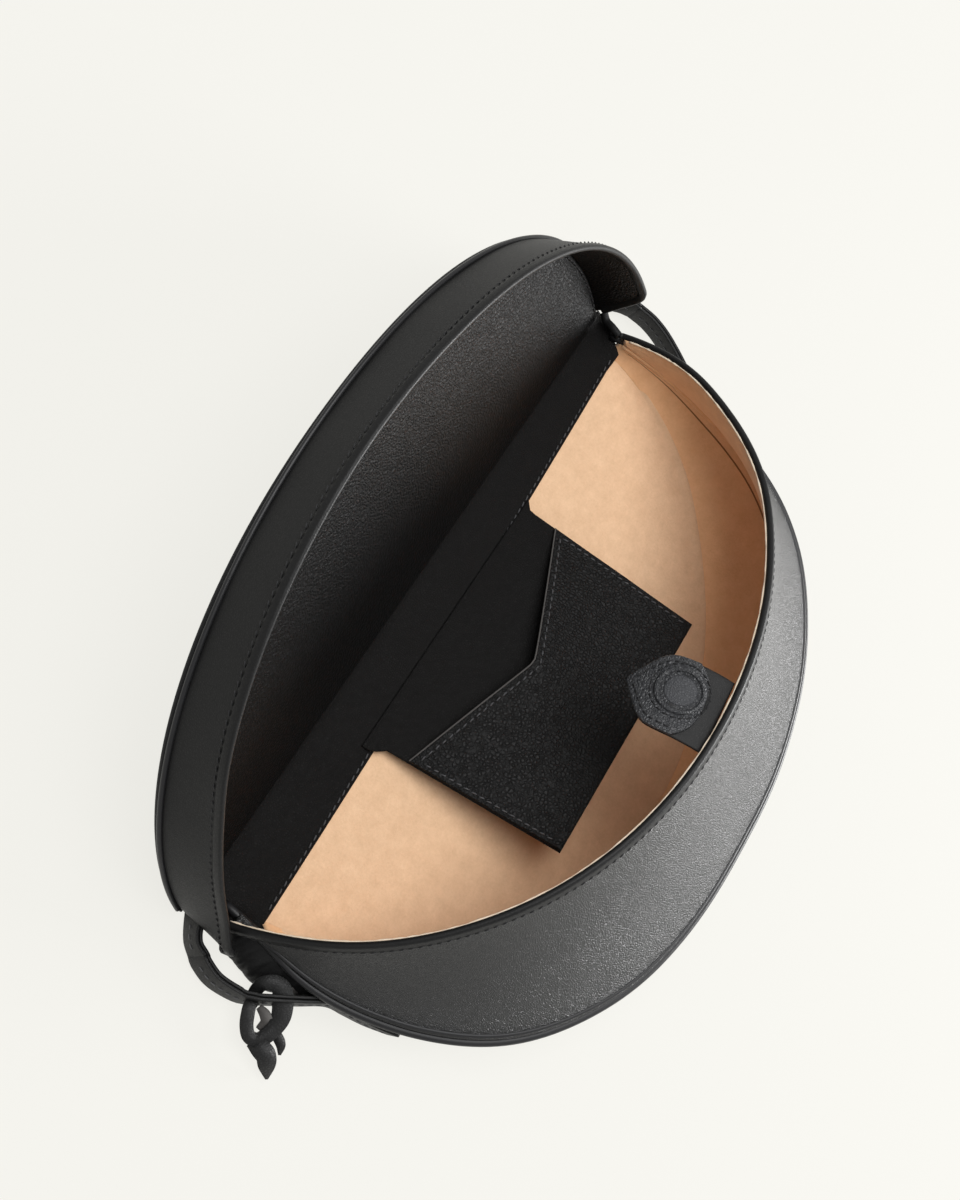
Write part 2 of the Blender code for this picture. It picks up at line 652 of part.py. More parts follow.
def make_strap():
    pivot = strap_pivot()
    arc = []
    for angle in sweep(math.radians(24.0), 12):
        x, y = superellipse(angle, STRAP_ARC_HALF_WIDTH, STRAP_ARC_DEPTH, STRAP_ARC_ROUNDNESS)
        arc.append(Vector((x, STRAP_ARC_START_Y - y, 0)))
    end = Vector((strap_hinge_x(), STRAP_HINGE_Y - 0.5 * GAP, 0))
    turn = bridge(end, Vector((0, -1, 0)), arc[0], arc[1] - arc[0])
    mirror = [Vector((-point.x, point.y, 0)) for point in turn[::-1]]
    path = resample([*turn[:-1], *catmull(arc, 6), *mirror[1:]], 0.0, 0.0, 64)
    level = [strap_centre_height() + strap_rise(point.y) for point in path]
    both_ends = {0: 1.0, len(path) - 1: -1.0}
    strap_layer("strap_outer", path, level, 1, pivot, smooth, both_ends)
    strap_layer("strap_inner", path, level, -1, pivot, smooth, both_ends)
    for name, side in (("left", 1), ("right", -1)):
        ends = strap_end_path(side)
        rise = [strap_centre_height() + strap_rise(point.y) for point in ends]
        strap_layer("strap_end_" + name, ends, rise, side, (0, 0, 0), smooth, {0: 1.0})
        strap_layer("strap_end_lining_" + name, ends, rise, -side, (0, 0, 0), smooth, {0: 1.0})


def lace_place():
    """Middle of the strap's left end where the lace hangs, and the strap's direction there."""
    path = strap_end_path(1)
    k = min(range(1, len(path) - 1), key=lambda j: abs(path[j].y - LACE_PLACE_Y))
    height = strap_centre_height() + strap_rise(path[k].y)
    return Vector((path[k].x, path[k].y, height)), (path[k + 1] - path[k - 1]).normalized()


def make_lace():
    """One lace: a tail, a wrap round the strap's left end, a flat ring and a short tail."""
    centre, along = lace_place()
    outward = Vector((along.y, -along.x, 0)).normalized()
    low = FLOOR + LACE_RADIUS + STRAP_LIFT - centre.z
    strap_half = 0.5 * GAP + STRAP_LAYER_THICKNESS
    deep_end = strap_half + LACE_RADIUS + LACE_SLACK + LACE_WRAP_START
    share = (strap_half + LACE_WRAP_START) / deep_end
    seat = 0.5 * STRAP_HEIGHT + LACE_RADIUS + 1.5 * GAP + LACE_HANG
    high = seat / (1.0 - share ** LACE_WRAP_ROUNDNESS) ** (1.0 / LACE_WRAP_ROUNDNESS)

    def spot(out, side, rise):
        return centre + outward * out + along * side + Vector((0, 0, rise))
    route = [spot(LACE_TAIL_REACH, 1.2 * LACE_DRIFT, low),
             spot(0.8 * LACE_TAIL_REACH, 0.2 * LACE_DRIFT, low),
             spot(0.55 * LACE_TAIL_REACH, -LACE_DRIFT, 0.9 * low),
             spot(2.0 * LACE_WRAP_START, -LACE_DRIFT, 0.2 * high)]
    wrap = sweep(math.radians(12.0), 8)
    for turn in wrap:
        rise, deep = superellipse(turn, high, deep_end, LACE_WRAP_ROUNDNESS)
        side = (2.0 * turn / math.pi - 1.0) * LACE_DRIFT
        route.append(spot(LACE_WRAP_START - deep, side, rise - LACE_HANG))
    for k in range(8):
        turn = LACE_RING_TURN * k / 7
        out = LACE_RING_PLACE + LACE_RING_RADIUS * math.sin(turn)
        side = LACE_DRIFT + LACE_RING_RADIUS * (1.0 - math.cos(turn))
        route.append(spot(out, side, low + LACE_RING_CLIMB * k / 7))
    route.append(spot(LACE_RING_PLACE - 0.3 * LACE_RING_RADIUS, 0.4 * LACE_DRIFT, low + LACE_RING_CLIMB))
    route.append(spot(LACE_SHORT_TAIL_REACH, -0.1 * LACE_DRIFT, low + 0.5 * LACE_RING_CLIMB))
    tube("strap_lace", catmull(route, 3), LACE_RADIUS, spot(0.0, 0.0, 0.5 * STRAP_HEIGHT), smooth)


clear_scene()
bag_collection = bpy.data.collections.new("half_moon_bag")
bpy.context.scene.collection.children.link(bag_collection)
smooth = material("smooth black leather", (0.030, 0.031, 0.034), 0.42)
grain = material("grained black leather", (0.026, 0.026, 0.029), 0.50)
fine = material("fine black leather", (0.030, 0.029, 0.030), 0.55)
suede = material("tan suede", (0.62, 0.42, 0.27), 0.95)
edge_paint = material("painted black edge", (0.020, 0.020, 0.022), 0.40)
metal = material("magnet steel", (0.35, 0.35, 0.36), 0.35, 1.0)
make_back()
make_gusset()
make_wall()
make_flap()
make_tab()
make_pocket()
make_strap()
make_lace()
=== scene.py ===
"""Looks of a half-moon flap bag that lies open on its back panel.

Shapes are worked out in the bag frame of the part's source: +X along the flap's hinge line,
+Y from the hinge to the curved bottom, +Z away from the back panel, in metres.
"""
import math

import bpy
import numpy as np
from mathutils import Matrix, Vector

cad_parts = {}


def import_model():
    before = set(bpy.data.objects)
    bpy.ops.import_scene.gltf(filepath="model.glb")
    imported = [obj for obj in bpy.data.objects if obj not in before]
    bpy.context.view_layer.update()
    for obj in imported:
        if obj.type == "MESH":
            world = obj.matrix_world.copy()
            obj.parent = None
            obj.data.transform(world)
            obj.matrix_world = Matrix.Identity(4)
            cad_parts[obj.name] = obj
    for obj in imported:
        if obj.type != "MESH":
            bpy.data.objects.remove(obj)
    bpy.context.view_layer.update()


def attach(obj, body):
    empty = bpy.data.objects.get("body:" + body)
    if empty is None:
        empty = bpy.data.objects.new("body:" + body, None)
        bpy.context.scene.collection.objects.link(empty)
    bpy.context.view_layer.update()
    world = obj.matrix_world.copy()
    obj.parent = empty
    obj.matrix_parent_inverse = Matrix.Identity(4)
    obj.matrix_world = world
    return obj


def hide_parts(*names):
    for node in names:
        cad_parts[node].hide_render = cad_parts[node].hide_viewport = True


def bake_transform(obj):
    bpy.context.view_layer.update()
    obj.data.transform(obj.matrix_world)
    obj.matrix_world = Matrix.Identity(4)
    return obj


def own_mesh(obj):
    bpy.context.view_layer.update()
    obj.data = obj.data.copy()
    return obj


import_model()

# Places shared with the part's source
ORIGIN = np.array((0.0, -0.0450, 0.0039))
CORNER_Y = -0.0075
HINGE_Y = -0.0080
HINGE_Z = 0.0006
BACK = (0.1242, 0.1140, 1.87)
BASE = (0.1295, 0.1425, 2.75)
BASE_TUCK = 0.0050
BASE_LOW = 0.0040
BASE_HIGH = 0.0180
FLAP_HALF = 0.1352
FLAP_DEPTH = 0.1080
FLAP_POWER = 2.05
FLAP_FOOT = 0.0052
FLAP_SEAM = 0.0064
FLAP_CROWN = 0.0022
OPEN_SLOPE = math.radians(49.9)
SHUT_SLOPE = math.radians(40.3)
MAGNET_ALONG = 0.0882
MAGNET_ASIDE = 0.0010
POCKET_HINGE = np.array((0.0, 0.0012, 0.0012))
POCKET_TILT = math.radians(16.5)
POCKET_HALF = 0.0510
POCKET_LENGTH = 0.0735

# Rim of the mouth in the shut flap's measures, and the wall below it
RIM_SIDE_INSET = 0.0040
RIM_END_INSET = 0.0025
RIM_OUT = 0.0045
WALL_UPRIGHT = 0.0400
ROLL = 0.00125
ROLL_LEG = 0.0036

# Slack of the soft parts: angle round the half-moon in degrees, and millimetres outward there
RIM_SWAY = ((0, 0.2), (10, -2.0), (20, -2.9), (33, -2.8), (45, -1.8), (60, 0.3), (72, 1.6), (87, 2.2),
            (105, 1.6), (120, 0.9), (134, 0.8), (150, -0.4), (164, 0.0), (180, -1.3))
BASE_SWAY = ((0, 0.0), (6, 1.0), (12, 3.6), (18, 4.2), (27, 3.0), (35, 1.7), (45, 0.3), (60, -1.9),
             (75, -1.7), (90, -1.1), (105, -3.3), (120, -2.9), (135, 0.7), (145, 2.3), (160, 2.4), (170, 3.4),
             (180, 4.6))
CREASE_SWAY = ((0, 0.0), (60, 0.0), (120, 0.0), (138, 0.4), (152, 2.5), (165, 2.9), (180, 2.6))
LIP_LEAN = ((0, 3.0), (8, -1.0), (19, -2.2), (30, -1.4), (41, 1.6), (55, 4.0), (68, 5.6), (85, 6.2),
            (105, 4.2), (125, 3.6), (150, 3.8), (180, 4.0))

# Where the suede begins, past the leather that wraps the +X corner
WALL_SUEDE_START = math.radians(10.0)
GUSSET_SUEDE_START = math.radians(6.9)

# Lip round the flap
LIP_WIDTH = 0.0185
LIP_EDGE_OUT = -0.0126
LIP_TIP = 0.0077
LIP_ROLL_HEIGHT = 0.0034

# Stitching
STITCH_PITCH = 0.0030
STITCH_LENGTH = 0.0022
STITCH_SLANT = math.radians(9.0)
THREAD = 0.00027

# Thickness of each sheet
THICKNESS = {
    "back_panel_leather": 0.0024, "suede_floor": 0.0010, "gusset_suede": 0.0009, "gusset_leather": 0.0013,
    "gusset_fold": 0.0009, "wall_leather": 0.0013, "wall_suede": 0.0009, "spine_leather": 0.0011,
    "spine_outer": 0.0013, "flap_outer": 0.0020, "flap_inner": 0.0008, "lip_leather": 0.0008,
    "lip_inner": 0.0005, "tab_strap": 0.0011, "tab_padded_face": 0.0014, "pocket_back_leather": 0.0011,
    "pocket_front_leather": 0.0012,
}

UP = np.array((0.0, 0.0, 1.0))


def smooth(value, low, high):
    t = np.clip((np.asarray(value, float) - low) / (high - low), 0.0, 1.0)
    return t * t * (3.0 - 2.0 * t)


def unit(vectors):
    vectors = np.asarray(vectors, float)
    return vectors / np.maximum(np.linalg.norm(vectors, axis=-1, keepdims=True), 1e-12)


def wobble(x, y, seed, size):
    """Slow uneven surface, about minus one to one, from a few crossed waves."""
    total = 0.0
    for k in range(5):
        turn = seed * 1.7 + k * 2.4
        wave = (x * math.cos(turn) + y * math.sin(turn)) * math.tau / (size * (0.7 + 0.23 * k))
        total = total + np.sin(wave + seed * 3.1 + k * k) / (1.4 + 0.5 * k)
    return total / 2.0


def half_moon(angle, half, depth, power, outward=0.0):
    """Point of a half-moon outline, moved outward square to it."""
    share = np.clip(np.sin(angle), 0.0, 1.0)
    across = np.copysign((1.0 - share ** power) ** (1.0 / power), np.cos(angle))
    lean_x = np.copysign(np.abs(across) ** (power - 1.0), across) / half
    lean_y = share ** (power - 1.0) / depth
    size = np.hypot(lean_x, lean_y)
    return across * half + outward * lean_x / size, share * depth + outward * lean_y / size


def sway(angle, stops):
    """Metres outward at any angle, from a few stops in degrees and millimetres."""
    curve = curve_through([(degrees, amount, 0.0) for degrees, amount in stops])
    return 0.001 * np.interp(np.degrees(angle), curve[:, 0], curve[:, 1])


def crease(angle, inset=0.0):
    x, y = half_moon(angle, *BACK, sway(angle, CREASE_SWAY) - inset)
    return np.stack([x, CORNER_Y + y, 0.0 * x], -1)


def base(angle):
    """Centre of the piping round the base."""
    x, y = half_moon(angle, *BASE, sway(angle, BASE_SWAY))
    x = x - np.copysign(BASE_TUCK * (1.0 - y / BASE[1]) ** 3, x)
    rise = np.sqrt(np.clip(np.sin(angle), 0.0, 1.0))
    return np.stack([x, CORNER_Y + y, BASE_LOW + (BASE_HIGH - BASE_LOW) * rise], -1)


def flap_at(x, along, out, slope, way):
    """Point of a sloping flap: across it, along it from the hinge and out of its plane."""
    x, along, out = np.broadcast_arrays(x, along, out)
    c, s = math.cos(slope), math.sin(slope)
    return np.stack([x, HINGE_Y + way * c * along - s * out, HINGE_Z + s * along + way * c * out], -1)


def open_flap(x, along, out):
    return flap_at(x, along, out, OPEN_SLOPE, -1.0)


def shut_flap(x, along, out):
    return flap_at(x, along, out, SHUT_SLOPE, 1.0)


def world(x, y, z):
    """Place of the bag frame in the shared frame."""
    return tuple(float(part) for part in np.array((x, y, z)) + ORIGIN)


def flap_outline(angle, inset=0.0):
    x, y = half_moon(angle, FLAP_HALF, FLAP_DEPTH, FLAP_POWER, -inset)
    return x, FLAP_FOOT + y


def rim(angle):
    """Top of the front wall: it stands out in the middle and is drawn in where the bag slumps."""
    x, y = half_moon(angle, FLAP_HALF - RIM_SIDE_INSET, FLAP_DEPTH - RIM_END_INSET, FLAP_POWER,
                     sway(angle, RIM_SWAY))
    return shut_flap(x, FLAP_FOOT + y, RIM_OUT)


def angles(count, start=0.0):
    """Angles round the half-moon from a start in degrees, closer together near both corners."""
    start = math.radians(start)
    k = np.linspace(0.0, 1.0, count + 1)
    return start + (math.pi - 2.0 * start) * (0.5 * k + 0.25 * (1.0 - np.cos(math.pi * k)))


def edged(length, step, edge):
    """Shares from 0 to 1 along a length, with extra ones where both edges are rounded."""
    start = np.array([0.0, 0.07, 0.22, 0.5, 1.0]) * edge / length
    middle = np.linspace(start[-1], 1.0 - start[-1], max(int(length / step), 2) + 1)
    return np.concatenate([start[:-1], middle, 1.0 - start[:-1][::-1]])


def reach_of(path):
    """Length run along a path at each of its points."""
    steps = np.linalg.norm(np.diff(path, axis=0), axis=1)
    return np.concatenate([[0.0], np.cumsum(steps)])


def at_reach(path, values, goals):
    """Values that belong to a path's points, at any length along it."""
    reach = reach_of(path)
    return np.stack([np.interp(goals, reach, values[:, k]) for k in range(3)], -1)


def even(path, step):
    total = reach_of(path)[-1]
    return at_reach(path, path, np.linspace(0.0, total, max(int(total / step), 2) + 1))


def curve_through(points, steps=12):
    """Smooth curve through a short list of points."""
    points = np.asarray(points, float)
    ends = np.concatenate([[2 * points[0] - points[1]], points, [2 * points[-1] - points[-2]]])
    curve = []
    for a, b, c, d in zip(ends, ends[1:], ends[2:], ends[3:]):
        for t in np.arange(steps) / steps:
            bend = 2 * a - 5 * b + 4 * c - d
            twist = 3 * b - a - 3 * c + d
            curve.append(0.5 * (2 * b + (c - a) * t + bend * t * t + twist * t ** 3))
    curve.append(points[-1])
    return np.array(curve)


def grid_normals(points):
    normals = np.cross(np.gradient(points, axis=0), np.gradient(points, axis=1))
    weak = np.linalg.norm(normals, axis=-1) < 1e-13
    normals = unit(normals)
    normals[weak] = unit(normals[~weak].mean(axis=0))
    return normals


def turned(points, toward):
    """A grid turned over where needed, so that its normals agree with a direction."""
    if np.sum(grid_normals(points) * toward) < 0.0:
        return points[:, ::-1]
    return points


def raised(points, height):
    return points + grid_normals(points) * np.asarray(height)[..., None]


def between(start, end, shares):
    """Grid of straight rows from one line of points to another."""
    return start[:, None] + (end - start)[:, None] * shares[None, :, None]


def piece(name, points, faces, look, body=None, nodes=(), slot=None):
    """Smooth mesh from points in the bag frame, riding on a body and standing for CAD nodes."""
    mesh = bpy.data.meshes.new(name)
    mesh.from_pydata((np.asarray(points) + ORIGIN).tolist(), [], faces)
    mesh.shade_smooth()
    mesh.materials.append(look)
    made = bpy.data.objects.new(name, mesh)
    bpy.context.scene.collection.objects.link(made)
    if body:
        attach(made, body)
    if nodes:
        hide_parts(*nodes)
    return made


def numbered(points):
    """Grid of point numbers for a grid of points."""
    return np.arange(points[..., 0].size).reshape(points.shape[:-1])


def grid_faces(index, flipped=False):
    """Faces between neighbours in a grid of point numbers, without the ones that shrink to a line."""
    faces = []
    rows, columns = index.shape
    for i in range(rows - 1):
        for j in range(columns - 1):
            corners = (index[i, j], index[i + 1, j], index[i + 1, j + 1], index[i, j + 1])
            face = list(dict.fromkeys(int(k) for k in corners))
            if len(face) > 2:
                faces.append(face[::-1] if flipped else face)
    return faces


def tube_faces(index):
    """Faces round rings of points."""
    return grid_faces(np.concatenate([index, index[:, :1]], axis=1))


def closed_faces(index):
    """Faces round rings of points and over both ends."""
    return tube_faces(index) + [index[0].tolist(), index[-1][::-1].tolist()]


def compact(points, faces):
    """Leave out the points that no face uses."""
    used = sorted({k for face in faces for k in face})
    place = {k: i for i, k in enumerate(used)}
    return points[used], [[place[k] for k in face] for face in faces]


def run_of(points, axis):
    """Length run along each row or column of a grid."""
    steps = np.linalg.norm(np.diff(points, axis=axis), axis=-1)
    start = np.zeros_like(np.take(points[..., 0], [0], axis=axis))
    return np.cumsum(np.concatenate([start, steps], axis=axis), axis=axis)


def sheet(name, points, look, body=None, nodes=(), slot=None):
    """Closed sheet of leather round a grid of middle points, thinning to rounded edges."""
    half = 0.5 * THICKNESS[name]
    across, down = run_of(points, 0), run_of(points, 1)
    near = np.minimum(np.minimum(across, across[-1:] - across), np.minimum(down, down[:, -1:] - down))
    half = half * np.sqrt(1.0 - (1.0 - np.clip(near / half, 0.0, 1.0)) ** 2)
    lift = grid_normals(points) * half[..., None]
    upper = numbered(points)
    lower = np.where(half > 0.0, upper + half.size, upper)
    faces = grid_faces(upper) + grid_faces(lower, flipped=True)
    both = np.concatenate([(points + lift).reshape(-1, 3), (points - lift).reshape(-1, 3)])
    return piece(name, *compact(both, faces), look, body, nodes, slot)


def ribbon(name, path, outward, profile, look, body=None, nodes=(), slot=None):
    """Profile of (out, up) points carried along a path; up is square to the path and to outward."""
    along = unit(np.gradient(path, axis=0))
    outward = np.broadcast_to(np.asarray(outward, float), path.shape)
    up = unit(np.cross(outward, along))
    out = np.cross(along, up)
    profile = np.asarray(profile, float)
    if profile.ndim == 2:
        profile = np.broadcast_to(profile, (len(path), *profile.shape))
    points = path[:, None] + out[:, None] * profile[..., :1] + up[:, None] * profile[..., 1:]
    return piece(name, points.reshape(-1, 3), closed_faces(numbered(points)), look, body, nodes, slot)


def round_profile(radius, sides=10):
    turn = np.arange(sides) * math.tau / sides
    return np.stack([np.cos(turn) * radius, np.sin(turn) * radius], -1)


def slab_profile(thickness, height, corner, steps=3):
    """Oblong with rounded corners, as (out, up) points."""
    points = []
    for quarter, (sx, sy) in enumerate(((1, 1), (-1, 1), (-1, -1), (1, -1))):
        for k in range(steps + 1):
            turn = math.pi / 2 * (quarter + k / steps)
            points.append((sx * (thickness / 2 - corner) + corner * math.cos(turn),
                           sy * (height / 2 - corner) + corner * math.sin(turn)))
    return points


def stitches(name, path, up, body, look=None, pitch=STITCH_PITCH):
    """Row of sunk thread stitches along a path whose leather faces up."""
    up = np.broadcast_to(np.asarray(up, float), path.shape)
    total = reach_of(path)[-1]
    count = max(int(round(total / pitch)), 1)
    goals = (np.arange(count) + 0.5) * total / count
    middle = at_reach(path, path, goals)
    above = unit(at_reach(path, up, goals))
    ahead = unit(at_reach(path, np.gradient(path, axis=0), goals))
    ahead = unit(ahead - above * np.sum(ahead * above, axis=1, keepdims=True))
    side = np.cross(above, ahead)
    c, s = math.cos(STITCH_SLANT), math.sin(STITCH_SLANT)
    along, across = ahead * c + side * s, side * c - ahead * s
    places = np.array([-0.5, -0.36, 0.0, 0.36, 0.5]) * STITCH_LENGTH
    fat = np.array([0.35, 0.9, 1.0, 0.9, 0.35]) * THREAD
    sink = np.array([-1.1, -0.1, 0.25, -0.1, -1.1]) * THREAD
    turn = np.arange(6) * math.tau / 6
    ring = across[:, None, None] * (fat[:, None] * np.cos(turn))[None, ..., None]
    ring = ring + above[:, None, None] * (fat[:, None] * np.sin(turn) + sink[:, None])[None, ..., None]
    points = middle[:, None, None] + along[:, None, None] * places[None, :, None, None] + ring
    faces = [face for stitch in numbered(points) for face in closed_faces(stitch)]
    return piece(name, points.reshape(-1, 3), faces, look or thread_look, body)


# Materials
def new_material(name, roughness, specular=0.35):
    made = bpy.data.materials.new(name)
    made.use_nodes = True
    tree = made.node_tree
    shader = tree.nodes["Principled BSDF"]
    shader.inputs["Roughness"].default_value = roughness
    shader.inputs["Specular IOR Level"].default_value = specular
    return made, tree, shader


def node(tree, kind, inputs=(), **settings):
    made = tree.nodes.new(kind)
    for key, value in settings.items():
        setattr(made, key, value)
    for key, value in dict(inputs).items():
        if isinstance(value, bpy.types.NodeSocket):
            tree.links.new(value, made.inputs[key])
        else:
            made.inputs[key].default_value = value
    return made


def scalar(tree, operation, first, second):
    return node(tree, "ShaderNodeMath", {0: first, 1: second}, operation=operation).outputs[0]


def mixture(tree, first, part, second, other_part):
    """Sum of two values, each times its part."""
    first = scalar(tree, "MULTIPLY", first, part)
    second = scalar(tree, "MULTIPLY", second, other_part)
    return scalar(tree, "ADD", first, second)


def add_bump(tree, shader, height, distance, strength):
    bump = node(tree, "ShaderNodeBump", {"Height": height, "Distance": distance, "Strength": strength})
    tree.links.new(bump.outputs[0], shader.inputs["Normal"])


def noise(tree, place, scale, detail=2.0, roughness=0.5):
    inputs = {"Vector": place, "Scale": scale, "Detail": detail, "Roughness": roughness}
    return node(tree, "ShaderNodeTexNoise", inputs)


def ramp(tree, value, low, high, to_low=0.0, to_high=1.0):
    inputs = {"Value": value, "From Min": low, "From Max": high, "To Min": to_low, "To Max": to_high}
    return node(tree, "ShaderNodeMapRange", inputs).outputs[0]


def blend_colours(tree, share, first, second):
    made = node(tree, "ShaderNodeMix", data_type="RGBA")
    tree.links.new(share, made.inputs[0])
    made.inputs[6].default_value = (*first, 1.0)
    made.inputs[7].default_value = (*second, 1.0)
    return made.outputs[2]


def leather(name, tone, roughness, grain, relief, tint=(1.0, 1.0, 1.0), specular=0.22):
    """Pebbled leather: raised cells with fine creases between them, worn a little smoother on top, with
    painted shade darkening the colour in the creases.
    """
    made, tree, shader = new_material(name, roughness, specular)
    place = node(tree, "ShaderNodeTexCoord").outputs["Object"]
    warp = noise(tree, place, 0.45 / grain).outputs["Color"]
    warp = node(tree, "ShaderNodeVectorMath", {0: warp, 1: (grain,) * 3}, operation="MULTIPLY").outputs[0]
    bent = node(tree, "ShaderNodeVectorMath", {0: place, 1: warp}, operation="ADD").outputs[0]
    cell_inputs = {"Vector": bent, "Scale": 1.0 / grain}
    cells = node(tree, "ShaderNodeTexVoronoi", cell_inputs, feature="DISTANCE_TO_EDGE")
    pebbles = ramp(tree, cells.outputs["Distance"], 0.0, 0.30)
    fine = noise(tree, place, 2.6 / grain).outputs["Fac"]
    broad = noise(tree, place, 60.0, 3.0).outputs["Fac"]
    add_bump(tree, shader, mixture(tree, pebbles, 0.75, fine, 0.45), relief, 1.0)
    # The colour is darker in the creases between cells, which is painted shade, and it also varies at random
    # in broad patches of real tone.
    dark = [tone * part * 0.62 for part in tint]
    light = [tone * part * 1.12 for part in tint]
    crease_shade_and_tone = mixture(tree, pebbles, 0.7, broad, 0.3)
    tree.links.new(blend_colours(tree, crease_shade_and_tone, dark, light), shader.inputs["Base Color"])
    rough = ramp(tree, crease_shade_and_tone, 0.0, 1.0, roughness + 0.10, roughness - 0.04)
    tree.links.new(rough, shader.inputs["Roughness"])
    return made


def suede_material(name, light, dark):
    """Brushed suede: soft mottling, short nap and a faint sheen."""
    made, tree, shader = new_material(name, 0.95, 0.2)
    shader.inputs["Sheen Weight"].default_value = 0.25
    shader.inputs["Sheen Roughness"].default_value = 0.6
    place = node(tree, "ShaderNodeTexCoord").outputs["Object"]
    brushed = noise(tree, place, 190.0, 5.0, 0.7).outputs["Fac"]
    nap = noise(tree, place, 1100.0, 3.0, 0.7).outputs["Fac"]
    share = ramp(tree, mixture(tree, brushed, 0.65, nap, 0.35), 0.32, 0.68)
    tree.links.new(blend_colours(tree, share, dark, light), shader.inputs["Base Color"])
    add_bump(tree, shader, nap, 0.00022, 0.8)
    return made


def plain(name, colour, roughness, metallic=0.0):
    """Even finish with a faint uneven tone."""
    made, tree, shader = new_material(name, roughness)
    shader.inputs["Metallic"].default_value = metallic
    place = node(tree, "ShaderNodeTexCoord").outputs["Object"]
    patch = noise(tree, place, 900.0, 3.0).outputs["Fac"]
    dark = [part * 0.75 for part in colour]
    tree.links.new(blend_colours(tree, patch, dark, colour), shader.inputs["Base Color"])
    add_bump(tree, shader, patch, 0.00004, 0.6)
    return made


smooth_leather = leather("smooth_black_leather", 0.010, 0.46, 0.0007, 0.00005)
wall_sheen_leather = leather("wall_sheen_leather", 0.009, 0.36, 0.0007, 0.00018, specular=0.70)
grained_leather = leather("grained_black_leather", 0.0055, 0.46, 0.0013, 0.00024, specular=0.15)
fine_leather = leather("fine_black_leather", 0.0065, 0.50, 0.0008, 0.00014, (1.05, 0.98, 0.95), 0.08)
tab_leather = leather("tab_grey_leather", 0.032, 0.38, 0.0010, 0.00028, (0.94, 0.98, 1.08), 0.6)
disc_leather = leather("tab_disc_leather", 0.048, 0.50, 0.0008, 0.00016, (0.94, 0.98, 1.08), 0.5)
lace_leather = leather("thong_leather", 0.018, 0.45, 0.0010, 0.00008)
roll_leather = leather("rolled_black_leather", 0.010, 0.42, 0.0010, 0.00004)
suede = suede_material("tan_suede", (0.80, 0.545, 0.345), (0.66, 0.43, 0.26))
# Painted shade: a redder, more saturated copy of the tan suede for the gusset and wall linings, coloured like
# suede in shade lit by light bounced off more suede.
shade_tinted_suede = suede_material("shade_tinted_tan_suede", (0.86, 0.52, 0.285), (0.74, 0.42, 0.215))
raw_suede = suede_material("raw_suede_edge", (0.90, 0.78, 0.62), (0.70, 0.55, 0.40))
raw_edge_look = plain("cut_leather_edge", (0.16, 0.14, 0.12), 0.8)
edge_paint = plain("painted_black_edge", (0.012, 0.012, 0.013), 0.42)
thread_look = plain("black_thread", (0.07, 0.07, 0.074), 0.5)
# Painted shadow: a dark brown line laid along the gusset's seam below the piping, where shade falls beside
# the suede ridge.
painted_seam_shadow = plain("shaded_seam", (0.30, 0.15, 0.065), 0.9)
dark_thread = plain("sunk_dark_thread", (0.012, 0.012, 0.013), 0.6)
worn_edge = plain("worn_cut_edge", (0.075, 0.07, 0.066), 0.7)
steel = plain("magnet_steel", (0.16, 0.16, 0.165), 0.35, 0.8)


# Body of the bag
BACK_PANEL_Z = -0.0027
GUSSET_LOW = -0.0029
GUSSET_SAG = 0.0014
FOLD_BULGE = 0.0094
WALL_SEEN_FROM = np.array((0, 0.02, 0))
BASE_SEEN_FROM = np.array((0, 0.045, 0.0))
MOUTH_SEEN_FROM = np.array((0, 0.02, 0.02))
WALL_LINING_DEPTH = 0.00115


def make_back_panel():
    edge = crease(angles(90, 1.5))
    start = np.stack([edge[:, 0], np.full(len(edge), CORNER_Y), 0 * edge[:, 0]], -1)
    points = between(start, edge, edged(0.11, 0.006, 0.0012))
    points[..., 2] = BACK_PANEL_Z
    sheet("back_panel_leather", points, grained_leather, "bag_body", ["back_panel"], "grained_leather")


def facing_edge(x):
    """Skewed and slightly bowed front edge of the facing, where the suede starts."""
    return 0.0045 + 0.036 * x - 0.08 * x * x


def make_suede_floor():
    """Suede over the back panel, curled up a little where it meets the gusset."""
    edge = crease(angles(110, 2.0), -0.0003)
    shares = edged(0.11, 0.0022, 0.0006)
    front = np.minimum(facing_edge(edge[:, 0]) - 0.0012, edge[:, 1] - 0.0010)
    start = np.stack([edge[:, 0], front, 0 * front], -1)
    points = between(start, edge, shares)
    x, y = points[..., 0], points[..., 1]
    left = np.linalg.norm(edge - start, axis=1)[:, None] * (1.0 - shares)[None]
    curl = 0.0010 * (1.0 - smooth(left, 0.0, 0.0060)) * smooth(y, 0.0, 0.02)
    points[..., 2] = -0.0004 + curl + 0.00025 * wobble(x, y, 3, 0.07) * smooth(left, 0.0, 0.02)
    sheet("suede_floor", turned(points, UP), suede, "bag_body", ["back_lining"], "suede")


def shut_soft(made):
    """Gives the piece its own copy of its mesh."""
    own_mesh(made)
    return made


